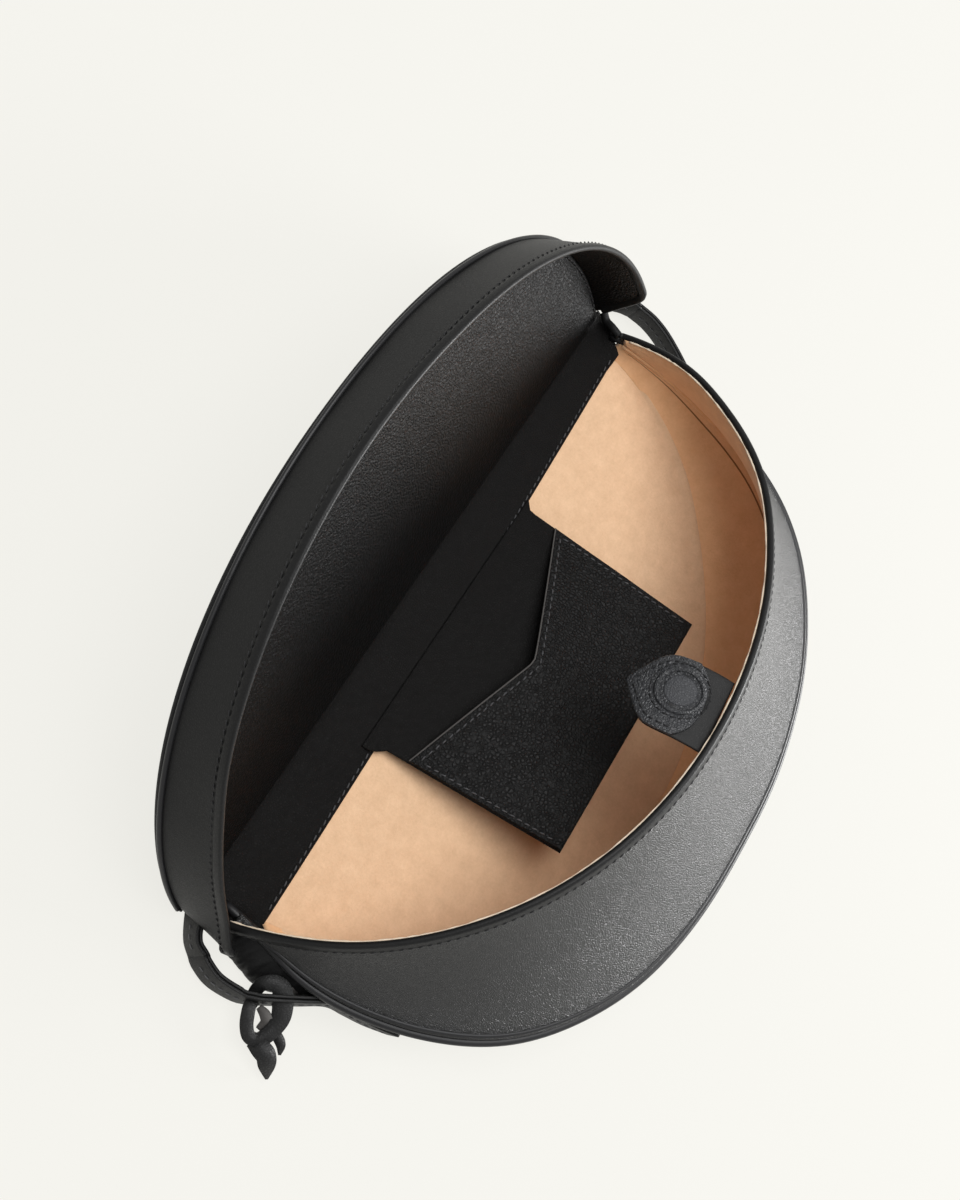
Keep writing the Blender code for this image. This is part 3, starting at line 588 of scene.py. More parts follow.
def make_gusset():
    """Gusset from the crease up to the piping, its suede in a more saturated copy that is painted shade, a
    thin line of painted shadow along the seam, and the ridge below the piping.
    """
    turn = angles(120, 1.2)
    piping = base(turn)
    inward = unit(crease(turn) - piping)
    shares = edged(0.028, 0.0022, 0.0006)
    start = crease(turn, 0.0010) - UP * 0.0002
    points = between(start, piping + inward * 0.0010 + UP * 0.0008, shares)
    points[..., 2] -= GUSSET_SAG * (4.0 * shares * (1.0 - shares))
    x, y = points[..., 0], points[..., 1]
    calm = np.sin(math.pi * shares)[None]
    points[..., 2] += calm * (0.0007 * wobble(x, y, 5, 0.045) + 0.0003 * wobble(x, y, 9, 0.014))
    lining = turned(points, UP)
    first = int(np.argmax(turn > GUSSET_SUEDE_START))
    shut_soft(sheet("gusset_suede", lining[first:], shade_tinted_suede, "bag_body", ["gusset_lining"], "suede"))
    outer = raised(lining, -THICKNESS["gusset_leather"])
    outer[..., 2] = np.maximum(outer[..., 2], GUSSET_LOW)
    shut_soft(sheet("gusset_leather", outer, smooth_leather, "bag_body", ["gusset"], "smooth_leather"))
    # The thin dark brown line along the seam is painted shadow.
    column = np.argmin(np.abs(shares - 0.84))
    seam = points[first + 1:-3, column] + inward[first + 1:-3] * 0.0004 + UP * 0.0004
    shut_soft(ribbon("gusset_seam_shadow_line", seam, UP, round_profile(0.00035, 6), painted_seam_shadow, "bag_body"))
    ridge = piping[first + 1:-1] + inward[first + 1:-1] * 0.0020 + UP * 0.0015
    shut_soft(ribbon("gusset_seam_ridge", ridge, UP, round_profile(0.0011, 8), shade_tinted_suede, "bag_body"))


def make_fold():
    """Slack of the gusset leather that bulges out at the +X corner, with small creases."""
    turn = np.radians(np.linspace(0.3, 20.0, 70))
    piping = base(turn)
    y = piping[:, 1]
    out = unit(np.cross(unit(np.gradient(piping, axis=0)), UP))
    bulge = 0.0001 + FOLD_BULGE * smooth(y, -0.0090, 0.0075) * (1.0 - smooth(y, 0.0160, 0.0400))
    shares = np.linspace(0.0, 1.0, 22)[None]
    top = piping + out * 0.0006 - UP * 0.0014
    s = reach_of(piping)[:, None]
    creases = 0.00045 * np.sin(s * 1150.0 + 2.2 * np.sin(shares * 4.0))
    creases = creases + 0.00025 * np.sin(s * 2300.0 + 6.0 * shares)
    swell = bulge[:, None] * (1.0 - (1.0 - shares) ** 2.0)
    swell = swell + creases * np.sin(math.pi * shares) * bulge[:, None] / FOLD_BULGE
    points = top[:, None] + out[:, None] * swell[..., None]
    points[..., 2] += (GUSSET_LOW - top[:, 2])[:, None] * shares
    points = np.concatenate([points, crease(turn)[:, None] + UP * GUSSET_LOW], axis=1)
    made = sheet("gusset_fold", turned(points, out[:, None]), smooth_leather, "bag_body")
    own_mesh(made)


def wall_lines(turn):
    """Top, middle and foot lines of the front wall."""
    top = rim(turn)
    foot = base(turn) + UP * 0.0008
    lip_way = shut_flap(0, 0, -1.0) - shut_flap(0, 0, 0.0)
    reach = np.minimum(WALL_UPRIGHT, 0.45 * np.linalg.norm(foot - top, axis=1))
    return top, top + lip_way * reach[:, None], foot


def wall_rows(turn, shares, lift):
    """Grid down the front wall: upright under the lip and then out to the piping."""
    top, bend, foot = wall_lines(turn)
    k = shares[None, :, None]
    points = top[:, None] * (1 - k) ** 2 + bend[:, None] * 2 * k * (1 - k) + foot[:, None] * k * k
    outward = points.mean(axis=1, keepdims=True) - WALL_SEEN_FROM
    points = turned(points, np.broadcast_to(outward * (1, 1, 0.3), points.shape))
    flipped = np.allclose(points[:, 0], foot)
    shares = 1.0 - shares if flipped else shares
    calm = smooth(shares, 0.06, 0.4) * smooth(1.0 - shares, 0.0, 0.3)
    x, y = points[..., 0], points[..., 1]
    return raised(points, lift + calm[None] * 0.0006 * wobble(x, y, 2, 0.09))


def make_wall():
    """Front wall and its suede, and the cord and welt in the seam at its foot."""
    turn = angles(130, 1.6)
    outer = wall_rows(turn, edged(0.075, 0.0025, 0.0007), 0.0)
    shut_soft(sheet("wall_leather", outer, wall_sheen_leather, "bag_body", ["front_wall"], "smooth_leather"))
    inner = wall_rows(turn[turn > WALL_SUEDE_START], edged(0.075, 0.0025, 0.0005), -WALL_LINING_DEPTH)
    # The wall's lining uses the more saturated suede copy, which is painted shade of the suede in the bag's
    # shaded sides.
    shut_soft(sheet("wall_suede", inner, shade_tinted_suede, "bag_body", ["front_wall_lining"], "suede"))
    path = base(angles(150))
    path = path + unit((path - BASE_SEEN_FROM) * (1, 1, 0)) * 0.0009 - UP * 0.0006
    shut_soft(ribbon("base_cord", path, UP, round_profile(0.00160), edge_paint, "bag_body", ["base_piping"],
                     "black_binding"))
    bend, foot = wall_lines(angles(150, 2.5))[1:]
    welt = foot + unit(bend - foot) * 0.0026 + unit(foot - BASE_SEEN_FROM) * 0.0006
    shut_soft(ribbon("base_welt", welt, UP, round_profile(0.0009, 8), edge_paint, "bag_body"))


def rim_frames(turn):
    """Places along the rim with the ways out from the mouth and down the wall."""
    top = rim(turn)
    along = unit(np.gradient(top, axis=0))
    down = unit(shut_flap(0, 0, -1.0) - shut_flap(0, 0, 0.0))
    down = unit(down - along * np.sum(along * down, axis=1, keepdims=True))
    out = np.cross(down, along)
    way = np.sign(np.sum(out * (top - MOUTH_SEEN_FROM), axis=1, keepdims=True))
    return top, out * way, down


def make_rim():
    """Rolled edge over the rim, its stitches and the raw suede edge inside it."""
    top, out, down = rim_frames(angles(170, 0.8))
    profile = [(-ROLL, 0.0022), (-ROLL, 0.0002)]
    for bend in math.pi * (1.0 - np.arange(1, 8) / 8):
        profile.append((ROLL * math.cos(bend), -ROLL * math.sin(bend)))
    profile += [(ROLL, 0.0002), (ROLL * 1.02, 0.0014), (ROLL * 0.98, ROLL_LEG - 0.0004),
                (ROLL * 0.72, ROLL_LEG), (0.0002, ROLL_LEG), (-0.0006, 0.0024)]
    n, d = np.array(profile).T
    points = top[:, None] + out[:, None] * n[None, :, None] + down[:, None] * d[None, :, None]
    index = numbered(points)
    faces = tube_faces(index) + [index[0][::-1].tolist(), index[-1].tolist()]
    shut_soft(piece("rim_roll", points.reshape(-1, 3), faces, roll_leather, "bag_body", ["rim_binding"],
                    "black_binding"))
    seam = top + out * (ROLL * 0.98) + down * (ROLL_LEG - 0.0007)
    shut_soft(stitches("rim_stitches", seam[3:-3], out[3:-3], "bag_body", dark_thread))
    raw = top - out * (ROLL + 0.00020)
    fray = 0.00014 * np.sin(raw[:, 0] * 5200.0 + 3.0 * np.sin(raw[:, 1] * 3900.0))
    profile = np.array(round_profile(1.0, 6))[None] * (0.00030 + fray)[:, None, None]
    shut_soft(ribbon("raw_suede_edge", raw[2:-4], out[2:-4], profile[2:-4], raw_suede, "bag_body"))


# Spine across the hinge, as (y, z) stops from the facing to the flap's foot
SPINE_RUN = ((0.0, 0.00055), (-0.0020, 0.00058), (-0.0060, 0.00040), (-0.0085, 0.00020), (-0.0120, -0.00005),
             (-0.0150, -0.00010), (-0.0172, 0.00060))
SPINE_UNDER = ((-0.0070, -0.0030), (-0.0100, -0.0031), (-0.0150, -0.0024), (-0.0176, -0.0010))
SPINE_START = -0.1270
SPINE_WIDTH = 0.2545
CORNER_TAIL = ((-0.1300, -0.0062, 0.0070), (-0.1314, -0.0098, 0.0060), (-0.1330, -0.0128, 0.0042),
               (-0.1348, -0.0158, 0.0046))


def spine_run(stops, steps, length, step, edge):
    """Curve square to the hinge line through a few (y, z) stops."""
    run = curve_through([(0.0, y, z) for y, z in stops], steps)
    return at_reach(run, run, reach_of(run)[-1] * edged(length, step, edge))


def spine_grid(share, x):
    """Facing and fold: skewed in front, slanted at both ends and lifted where it meets the corners."""
    run = spine_run(SPINE_RUN, 8, 0.0175, 0.0007, 0.0005)
    depth = run[:, 1] / run[-1, 1]
    front = facing_edge(x)
    y = front[:, None] + (run[-1, 1] - front)[:, None] * depth[None]
    right_end = np.maximum(-0.1272 + 0.80 * (y + 0.0025), -0.1365)
    left_end = 0.1288 - 0.45 * np.maximum(y, -0.0060)
    wide = right_end + (left_end - right_end) * share[:, None]
    z = run[:, 2] + 0.00018 * wobble(wide, y, 7, 0.03) * np.sin(math.pi * depth)[None]
    lifted = smooth(y, -0.0120, -0.0050) * (1.0 - smooth(y, -0.0030, 0.0050))
    z += 0.0065 * smooth(wide, left_end - 0.0080, left_end) * lifted
    z += 0.0025 * (1.0 - smooth(wide, right_end, right_end + 0.0080)) * smooth(y, -0.0140, -0.0080)
    return turned(np.stack([wide, y, z], -1), UP)


def make_spine():
    """Facing and fold in one strip, with the leather under it, the facing's stitches and a corner tail."""
    share = np.concatenate([[0.0, 0.0004, 0.0016], np.linspace(0.004, 0.996, 126), [0.9984, 0.9996, 1.0]])
    x = SPINE_START + SPINE_WIDTH * share
    points = spine_grid(share, x)
    made = sheet("spine_leather", points, fine_leather, None, ["top_facing", "flap_root"], "fine_leather")
    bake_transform(made)
    seam = points[:, np.argmax(points[60, :, 1])] - np.array((0, 0.0014, -0.0007))
    under = spine_run(SPINE_UNDER, 6, 0.0110, 0.0008, 0.0006)
    points = under[None] + np.array((1.0, 0, 0)) * x[:, None, None] * 0.985
    made = sheet("spine_outer", turned(points, -UP), smooth_leather, None, (), "smooth_leather")
    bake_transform(made)
    stitches("facing_stitches", even(seam[4:-6], 0.002), UP, "bag_body")
    made = ribbon("corner_tail", curve_through(CORNER_TAIL, 8), UP, round_profile(0.0016), smooth_leather)
    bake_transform(made)


# Flap
FLAP_OUTER_OUT = 0.0077
FLAP_INNER_OUT = 0.0061
FLAP_FACE_OUT = 0.0054
FLAP_INWARD = unit(open_flap(0, 0, -1.0) - open_flap(0, 0, 0.0))
FLAP_MIDDLE = open_flap(0, FLAP_FOOT + 0.03, 0.0)


def crown(x, along):
    """How far the flap's panel bulges away from the bag."""
    share = np.clip(1.0 - (x / FLAP_HALF) ** 2, 0.0, 1.0)
    rise = np.clip((along - FLAP_FOOT) / FLAP_DEPTH, 0.0, 1.0)
    return FLAP_CROWN * share * np.sin(math.pi * rise) ** 0.8


def flap_grid(inset, out, step, edge, seed=0, unevenness=0.0):
    """Grid over the open flap's panel, in rows from its foot to its curved edge."""
    x, along = flap_outline(angles(110, 1.2), inset)
    shares = edged(0.105, step, edge)
    wide = np.broadcast_to(x[:, None], (len(x), len(shares)))
    reach = FLAP_FOOT + (along - FLAP_FOOT)[:, None] * shares[None]
    calm = np.sin(math.pi * shares)[None] ** 0.5
    height = out + crown(wide, reach) + unevenness * calm * wobble(wide, reach, seed, 0.06)
    return open_flap(wide, reach, height)


def make_flap():
    points = turned(flap_grid(0.0002, FLAP_OUTER_OUT, 0.005, 0.0010), -FLAP_INWARD)
    sheet("flap_outer", points, smooth_leather, "flap", ["flap_panel"], "smooth_leather")
    points = turned(flap_grid(0.0018, FLAP_INNER_OUT, 0.0024, 0.0005, 4, 0.00030), FLAP_INWARD)
    sheet("flap_inner", points, grained_leather, "flap", ["flap_lining"], "grained_leather")


# Lip round the flap, followed from its free tip at the +X corner
def lip_table():
    """Angles round the flap against the run along its outline from the +X tip."""
    turn = angles(400)
    x, along = flap_outline(turn)
    return LIP_TIP + reach_of(np.stack([x, along], -1)), turn


LIP_RUNS, LIP_ANGLES = lip_table()
LIP_STOP = LIP_RUNS[-1] - 0.0033
LIP_END_SLANT = 0.0125
LIP_END_ROUND = 0.0030


def lip_end(share):
    """Run at which the lip stops at the -X corner: slanted, with a round at the free edge."""
    corner = np.clip((share - 0.82) / 0.18, 0.0, 1.0)
    return LIP_STOP - LIP_END_SLANT * share - LIP_END_ROUND * (1.0 - np.sqrt(1.0 - corner ** 2))


def lip_point(run, share, inset):
    """Point of the lip at a run along it and at a share of its width from the panel."""
    angle = np.interp(run, LIP_RUNS, LIP_ANGLES)
    x, along = flap_outline(angle, inset - sway(angle, LIP_LEAN) * share)
    short = np.clip(1.0 - run / 0.020, 0.0, 1.0)
    tip = np.clip(1.0 - run / 0.005, 0.0, 1.0)
    start = FLAP_SEAM - 0.0130 * short ** 2.2
    stop = LIP_EDGE_OUT + 0.0040 * tip ** 2
    return open_flap(x, along - np.maximum(LIP_TIP - run, 0.0), start + (stop - start) * share)


def lip_grid(inset, count, edge):
    """Grid over the lip, in rows across its width."""
    shares = edged(LIP_WIDTH, 0.0020, edge)[None]
    run = lip_end(shares) * edged(0.30, 0.30 / count, edge)[:, None]
    return lip_point(run, np.broadcast_to(shares, run.shape), inset)


def lip_border(inset):
    """Path up the +X tip, along the free edge and back down the -X end."""
    up = np.linspace(0.15, 1.0, 8)[:-1]
    edge = np.linspace(0.0, 1.0, 240) * lip_end(1.0)
    down = np.linspace(1.0, 0.12, 20)[1:]
    run = np.concatenate([0.0 * up, edge, lip_end(down)])
    return even(lip_point(run, np.concatenate([up, 0 * edge + 1.0, down]), inset), 0.0009)


def make_lip():
    """Lip leather and lining, the roll along the free edge, and the cord and seams of the flap."""
    outer = lip_grid(0.0005, 150, 0.0006)
    outer = turned(outer, outer - FLAP_MIDDLE)
    outer = raised(outer, 0.00018 * wobble(outer[..., 0], outer[..., 1], 6, 0.05))
    sheet("lip_leather", outer, smooth_leather, "flap", ["flap_lip"], "smooth_leather")
    inner = lip_grid(0.00115, 120, 0.0004)
    inner = turned(inner, FLAP_MIDDLE - inner)
    sheet("lip_inner", inner, grained_leather, "flap", ["flap_lip_lining"], "grained_leather")
    edge = lip_border(0.0008)
    out = unit(edge - FLAP_MIDDLE)
    out = unit(out - FLAP_INWARD * (out @ FLAP_INWARD)[:, None])
    rise = unit(np.cross(out, unit(np.gradient(edge, axis=0))))
    rise = rise * np.sign(rise[len(rise) // 2] @ FLAP_INWARD)
    middle = edge + rise * (0.5 * LIP_ROLL_HEIGHT - 0.0012)
    roll = slab_profile(0.0021, LIP_ROLL_HEIGHT, 0.0010, 4)
    ribbon("lip_roll", middle, out, roll, roll_leather, "flap", ["lip_edge"], "smooth_leather")
    seam = edge - rise * 0.0016 + out * 0.00075
    stitches("lip_stitches", seam[6:-2], out[6:-2], "flap", dark_thread)
    cord = open_flap(*flap_outline(angles(160, 2.6), -0.0003), FLAP_SEAM)
    ribbon("flap_cord", cord, FLAP_INWARD, round_profile(0.0009, 8), edge_paint, "flap", ["flap_piping"],
           "black_binding")
    seam = open_flap(*flap_outline(angles(120, 2.5), 0.0031), 0.00545)
    stitches("flap_seam_stitches", seam, FLAP_INWARD, "flap", dark_thread)


# Magnets, turned about their own axis
TURNED_SIDES = 48


def turned_piece(name, radii, heights, place, look, body, nodes=(), slot=None):
    """Turned shape set down by place(right, ahead, up): a ring, or closed at both ends."""
    turn = np.arange(TURNED_SIDES) * math.tau / TURNED_SIDES
    right, ahead = np.outer(radii, np.cos(turn)), np.outer(radii, np.sin(turn))
    up = np.repeat(np.reshape(heights, (-1, 1)), TURNED_SIDES, axis=1)
    index = np.arange(up.size).reshape(up.shape)
    if np.isclose(radii[0], radii[-1]) and np.isclose(heights[0], heights[-1]):
        index[-1] = index[0]
        faces = tube_faces(index)
    else:
        faces = closed_faces(index)
    points = place(right, ahead, up).reshape(-1, 3)
    return piece(name, *compact(points, faces), look, body, nodes, slot)


def ring_profile(radius, thick, tall, steps=10):
    """Closed section of a soft ring, as radii and heights."""
    turn = np.linspace(0.0, math.tau, steps + 1)
    return radius + 0.5 * thick * np.cos(turn), tall * (0.5 + 0.5 * np.sin(turn)) - 0.15 * tall


def make_flap_magnet():
    def place(right, ahead, up):
        surface = FLAP_FACE_OUT + crown(right, MAGNET_ALONG + ahead)
        return open_flap(right + MAGNET_ASIDE, MAGNET_ALONG + ahead, surface - up)
    radii = (0.0052, 0.0056, 0.0057, 0.0054, 0.0046, 0.0030, 0.0010)
    heights = (-0.0002, 0.0000, 0.0006, 0.0010, 0.0012, 0.0013, 0.0013)
    turned_piece("flap_magnet_disc", radii, heights, place, steel, "flap", ["flap_magnet"], "magnet_steel")
    ring = ring_profile(0.0070, 0.0017, 0.0014)
    turned_piece("flap_magnet_roll", *ring, place, grained_leather, "flap", ["flap_magnet_ring"],
                 "grained_leather")


# Magnet tab
TAB_HALF = 0.0135
TAB_ROOT = np.array((-0.0034, 0.0734, 0.0739))
TAB_WIDTH_WAY = np.array((0.9954, 0.0952, 0.0))
TAB_AHEAD_WAY = np.array((0.0952, -0.9954, 0.0))
TAB_STRAIGHT = 0.0214
TAB_POINT = 0.0317
TAB_LENGTH = 0.0309
TAB_END_ROUND = 0.0120
TAB_DISC_LIFT = 0.0017
TAB_STITCH_LIFT = 0.0020
TAB_DISC = (-0.0017, 0.0134)
TAB_FACE_START = 0.0048
TAB_STEPS = np.linspace(-0.002, 0.040, 169)
TAB_SLOPES = np.radians(8.0 + 1650.0 * np.maximum(TAB_STEPS, 0.0))


def tab_half(reach):
    """Half width of the tab: straight, then drawn in to a soft point."""
    taper = TAB_HALF * (TAB_POINT - reach) / (TAB_POINT - TAB_STRAIGHT)
    round_end = np.sqrt(np.maximum(2.0 * TAB_END_ROUND * (TAB_LENGTH + 0.0001 - reach), 1e-9))
    parts = np.stack([np.full_like(taper, TAB_HALF), np.maximum(taper, 1e-5), round_end])
    return np.sum(parts ** -8.0, axis=0) ** (-1.0 / 8.0)


def tab_point(x, reach, up=0.0):
    """Point of the drooping tab: across it, along it from the rim and above it."""
    x, reach, up = np.broadcast_arrays(x, reach, up)
    step = TAB_STEPS[1] - TAB_STEPS[0]
    slope = np.interp(reach, TAB_STEPS, TAB_SLOPES)
    ahead = np.interp(reach, TAB_STEPS, np.cumsum(np.cos(TAB_SLOPES)) * step - 0.002)
    drop = np.interp(reach, TAB_STEPS, np.cumsum(np.sin(TAB_SLOPES)) * step)
    ahead = ahead + up * np.sin(slope)
    down = drop - up * np.cos(slope)
    level = TAB_ROOT + TAB_WIDTH_WAY * x[..., None] + TAB_AHEAD_WAY * ahead[..., None]
    return level - UP * down[..., None]


def tab_grid(start, end, up, edge, bow=0.0):
    """Grid over the tab, whose near end may be bowed toward the rim in the middle."""
    shares = 2.0 * edged(0.027, 0.0012, edge) - 1.0
    near = start + bow * np.abs(shares) ** 3
    reach = near[None] + (end - near)[None] * edged(end - start, 0.0010, edge)[:, None]
    return tab_point(tab_half(reach) * shares[None], reach, up)


def tab_soft(made):
    """Gives the piece its own copy of its mesh."""
    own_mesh(made)
    return made


def make_tab():
    """Tab strap, its padded face, the covered magnet in its ring, and the stitches round both."""
    strap = turned(tab_grid(-0.0015, TAB_LENGTH, 0.0, 0.0006), UP)
    made = sheet("tab_strap", strap, smooth_leather, None, ["tab_backing"], "grained_leather")
    world(*tab_point(0.0, 0.0060))
    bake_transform(made)
    face = turned(tab_grid(TAB_FACE_START, TAB_LENGTH + 0.0001, 0.0012, 0.0007, 0.0062), UP)
    tab_soft(sheet("tab_padded_face", face, tab_leather, "magnet_tab", ["tab_face"], "grained_leather"))

    def place(right, ahead, up):
        return tab_point(TAB_DISC[0] + right, TAB_DISC[1] + ahead, TAB_DISC_LIFT + up)
    radii = (0.0053, 0.0053, 0.0051, 0.0046, 0.0030, 0.0010)
    heights = (-0.0006, 0.0001, 0.0004, 0.0005, 0.0005, 0.0005)
    tab_soft(turned_piece("tab_covered_disc", radii, heights, place, disc_leather, "magnet_tab",
                          ["tab_magnet"], "grained_leather"))
    # Painted shade: a flat near-black disc fills the groove between the covered magnet and its ring.
    radii = (0.0066, 0.0066, 0.0064, 0.0030)
    heights = (-0.0006, 0.0001, 0.0002, 0.0002)
    tab_soft(turned_piece("tab_groove_shade", radii, heights, place, edge_paint, "magnet_tab"))
    ring = ring_profile(0.0074, 0.0017, 0.0012)
    tab_soft(turned_piece("tab_disc_ring", *ring, place, tab_leather, "magnet_tab"))
    turn = np.linspace(0.0, math.tau, 73)
    path = place(0.0094 * np.cos(turn), 0.0094 * np.sin(turn), 0.0003)
    up = unit(tab_point(0.0, TAB_DISC[1], 1.0) - tab_point(0.0, TAB_DISC[1], 0.0))
    tab_soft(stitches("tab_ring_stitches", path, up, "magnet_tab", dark_thread, 0.0026))
    reach = np.linspace(TAB_FACE_START + 0.0068, TAB_LENGTH - 0.0023, 40)
    side = tab_half(reach + 0.0012) - 0.0022
    both = np.concatenate([side, -side[::-1]])
    path = even(tab_point(both, np.concatenate([reach, reach[::-1]]), TAB_STITCH_LIFT), 0.0008)
    tab_soft(stitches("tab_edge_stitches", path, up, "magnet_tab", dark_thread, 0.0027))


# Card pocket
MOUTH_LEFT, MOUTH_VERTEX, MOUTH_RIGHT = (-0.0506, 0.0142), (-0.0018, 0.0332), (0.0467, 0.0173)
MOUTH_SOFT = 0.0014
MOUTH_GAPE = 0.0048
MOUTH_INSET = 0.0004
FRONT_LIFT = 0.0012
FRONT_FACE_LIFT = 0.0018
FLARE = 0.0032


def pocket_point(x, reach, up):
    """Point of the pocket: across it, along it from its hinge and above it."""
    x, reach, up = np.broadcast_arrays(x, reach, up)
    c, s = math.cos(POCKET_TILT), math.sin(POCKET_TILT)
    return np.stack([x, POCKET_HINGE[1] + c * reach - s * up, POCKET_HINGE[2] + s * reach + c * up], -1)


POCKET_UP = unit(pocket_point(0, 0, 1.0) - pocket_point(0, 0, 0.0))


def pocket_sides(reach):
    """The two side edges, drawn in slightly toward the free edge."""
    return -0.0526 + 0.0315 * reach, 0.0527 - 0.0585 * reach


def pocket_end(x):
    """The free edge, a little longer toward +X."""
    return 0.0751 + 0.0142 * x


def flare(side, reach):
    """Small rounds where the sides run into the facing."""
    start = (facing_edge(side) - POCKET_HINGE[1]) / math.cos(POCKET_TILT)
    left = np.clip(1.0 - (reach - start) / FLARE, 0.0, 1.0)
    return FLARE * (1.0 - np.sqrt(1.0 - left ** 2))


def mouth(x):
    """Where the front layer starts: a V with a softened point."""
    across = x - MOUTH_VERTEX[0]
    slope = np.where(across < 0, (MOUTH_VERTEX[1] - MOUTH_LEFT[1]) / (MOUTH_VERTEX[0] - MOUTH_LEFT[0]),
                     (MOUTH_VERTEX[1] - MOUTH_RIGHT[1]) / (MOUTH_RIGHT[0] - MOUTH_VERTEX[0]))
    return MOUTH_VERTEX[1] - slope * (np.sqrt(across ** 2 + MOUTH_SOFT ** 2) - MOUTH_SOFT)


def gape(x, reach):
    """How far the front layer stands off the back one below the mouth."""
    wide = np.clip(1.0 - (np.abs(x) / (POCKET_HALF - 0.002)) ** 2, 0.0, 1.0)
    below = np.clip((reach - mouth(x)) / (POCKET_LENGTH - MOUTH_VERTEX[1]), 0.0, 1.0)
    return MOUTH_GAPE * wide * (1.0 - below) ** 2 * (1.0 + 1.2 * below)


def make_pocket_back(shares):
    rows = edged(POCKET_LENGTH, 0.0024, 0.0006)
    reach = rows * POCKET_LENGTH
    left, right = pocket_sides(reach)
    left, right = left - flare(left, reach), right + flare(right, reach)
    x = left[:, None] + (right - left)[:, None] * shares[None]
    down = rows[:, None] * pocket_end(x)
    bow = -0.0012 * np.sin(math.pi * rows)[:, None] * 4.0 * (shares * (1.0 - shares))[None]
    points = turned(pocket_point(x, down, bow), UP)
    sheet("pocket_back_leather", points, fine_leather, "card_pocket", ["pocket_back"], "grained_leather")


def make_pocket():
    """Back layer, front layer with its worn mouth edge, and the seams of the mouth and sides."""
    shares = edged(0.102, 0.0024, 0.0006)
    make_pocket_back(shares)
    low = pocket_sides(MOUTH_LEFT[1])[0] + MOUTH_INSET
    high = pocket_sides(MOUTH_RIGHT[1])[1] - MOUTH_INSET
    top = low + (high - low) * shares
    start = mouth(top)
    rows = edged(0.05, 0.0018, 0.0006)
    down = start[:, None] + (pocket_end(top) - 0.0002 - start)[:, None] * rows[None]
    left, right = pocket_sides(down)
    wide = left + MOUTH_INSET + (right - left - 2.0 * MOUTH_INSET) * shares[:, None]
    uneven = 0.00025 * wobble(wide, down, 8, 0.05) * np.sin(math.pi * rows)[None]
    grid = pocket_point(wide, down, FRONT_LIFT + gape(wide, down) + uneven)
    front = turned(grid, UP)
    sheet("pocket_front_leather", front, grained_leather, "card_pocket", ["pocket_front"], "grained_leather")
    edge = grid[2:-2, 0] + POCKET_UP * 0.0003
    ribbon("pocket_mouth_edge", edge, POCKET_UP, round_profile(0.00032, 6), worn_edge, "card_pocket")

    def over_front(x, down):
        return pocket_point(x, down, FRONT_FACE_LIFT + gape(x, down))
    line = np.linspace(low + 0.0022, high - 0.0022, 121)
    seam = even(over_front(line, mouth(line) + 0.0024), 0.001)
    stitches("pocket_mouth_stitches", seam, POCKET_UP, "card_pocket")
    for name, k, inset, begin in (("left", 1, -0.0022, MOUTH_RIGHT), ("right", 0, 0.0022, MOUTH_LEFT)):
        down = np.linspace(begin[1] + 0.0040, POCKET_LENGTH - 0.0020, 60)
        seam = over_front(pocket_sides(down)[k] + inset, down)
        stitches("pocket_side_stitches_" + name, seam, POCKET_UP, "card_pocket")


# Strap
STRAP_HEIGHT = 0.0100
STRAP_LAYER = 0.0011
STRAP_STEP = 0.0012
LAYER_GAP = 0.0002

# Foot of the strap as (x, y, z) in millimetres and how far it leans in, in degrees
STRAP_LEFT = ((144.8, -5.9, -3.4, 16), (146.5, -3.4, -3.4, 17), (148.6, 3.9, -3.4, 17),
              (147.9, 13.6, -3.2, 16), (145.8, 19.0, -1.6, 14), (143.4, 23.0, -0.6, 12),
              (137.6, 32.2, 0.0, 10), (132.4, 40.4, 0.0, 8), (131.2, 47.0, 0.0, 5), (129.9, 55.0, 0.0, 2),
              (127.6, 64.0, 0.0, 0))
STRAP_RIGHT = ((-148.4, -5.9, -3.4, 2), (-149.0, 0.5, -3.4, 3), (-148.5, 5.5, -3.2, 4),
               (-146.9, 10.5, -2.6, 5), (-143.8, 16.5, -1.6, 5), (-140.2, 22.5, -0.6, 4),
               (-137.0, 29.0, 0.2, 3), (-133.0, 37.0, 1.0, 3), (-130.0, 48.0, 2.0, 2),
               (-126.8, 64.0, 3.0, 0))
STRAP_BACK = ((144.8, -5.9, -3.4, 16), (141.5, -10.2, -3.4, 9), (136.2, -14.0, -3.5, 18),
              (130.0, -17.8, -3.6, 72), (122.0, -22.5, -3.6, 86), (112.0, -29.0, -3.6, 66),
              (100.0, -37.0, -3.4, 22), (84.0, -45.5, -3.4, 6), (50.0, -53.5, -3.4, 0),
              (0.0, -57.0, -3.4, 0), (-50.0, -53.5, -3.4, 0), (-88.0, -45.0, -3.4, -8),
              (-108.0, -35.0, -3.4, -25), (-122.0, -26.5, -3.6, -70), (-133.5, -20.5, -3.6, -84),
              (-141.6, -15.0, -3.5, -40), (-146.2, -10.4, -3.4, -8), (-148.4, -5.9, -3.4, 2))


def strap_course(stops):
    """Middle of the strap and its outward face, from the foot stops."""
    foot = curve_through([(x * 0.001, y * 0.001, z * 0.001) for x, y, z, lean in stops], 14)
    lean = curve_through([(k, stop[3], 0.0) for k, stop in enumerate(stops)], 14)[:, 1]
    lean = np.radians(lean)[:, None]
    along = unit(np.gradient(foot * np.array((1.0, 1.0, 0.0)), axis=0))
    level = np.cross(along, UP)
    level = level * np.sign(np.sum(level * (foot - WALL_SEEN_FROM), axis=1).mean())
    tall = UP * np.cos(lean) - level * np.sin(lean)
    out = level * np.cos(lean) + UP * np.sin(lean)
    thick = 0.5 * (2.0 * STRAP_LAYER + LAYER_GAP)
    middle = foot + tall * (0.5 * STRAP_HEIGHT) - out * thick + UP * thick * np.abs(np.sin(lean))
    total = reach_of(middle)[-1]
    goals = np.linspace(0.0, total, int(total / STRAP_STEP) + 1)
    return at_reach(middle, middle, goals), unit(at_reach(middle, out, goals))


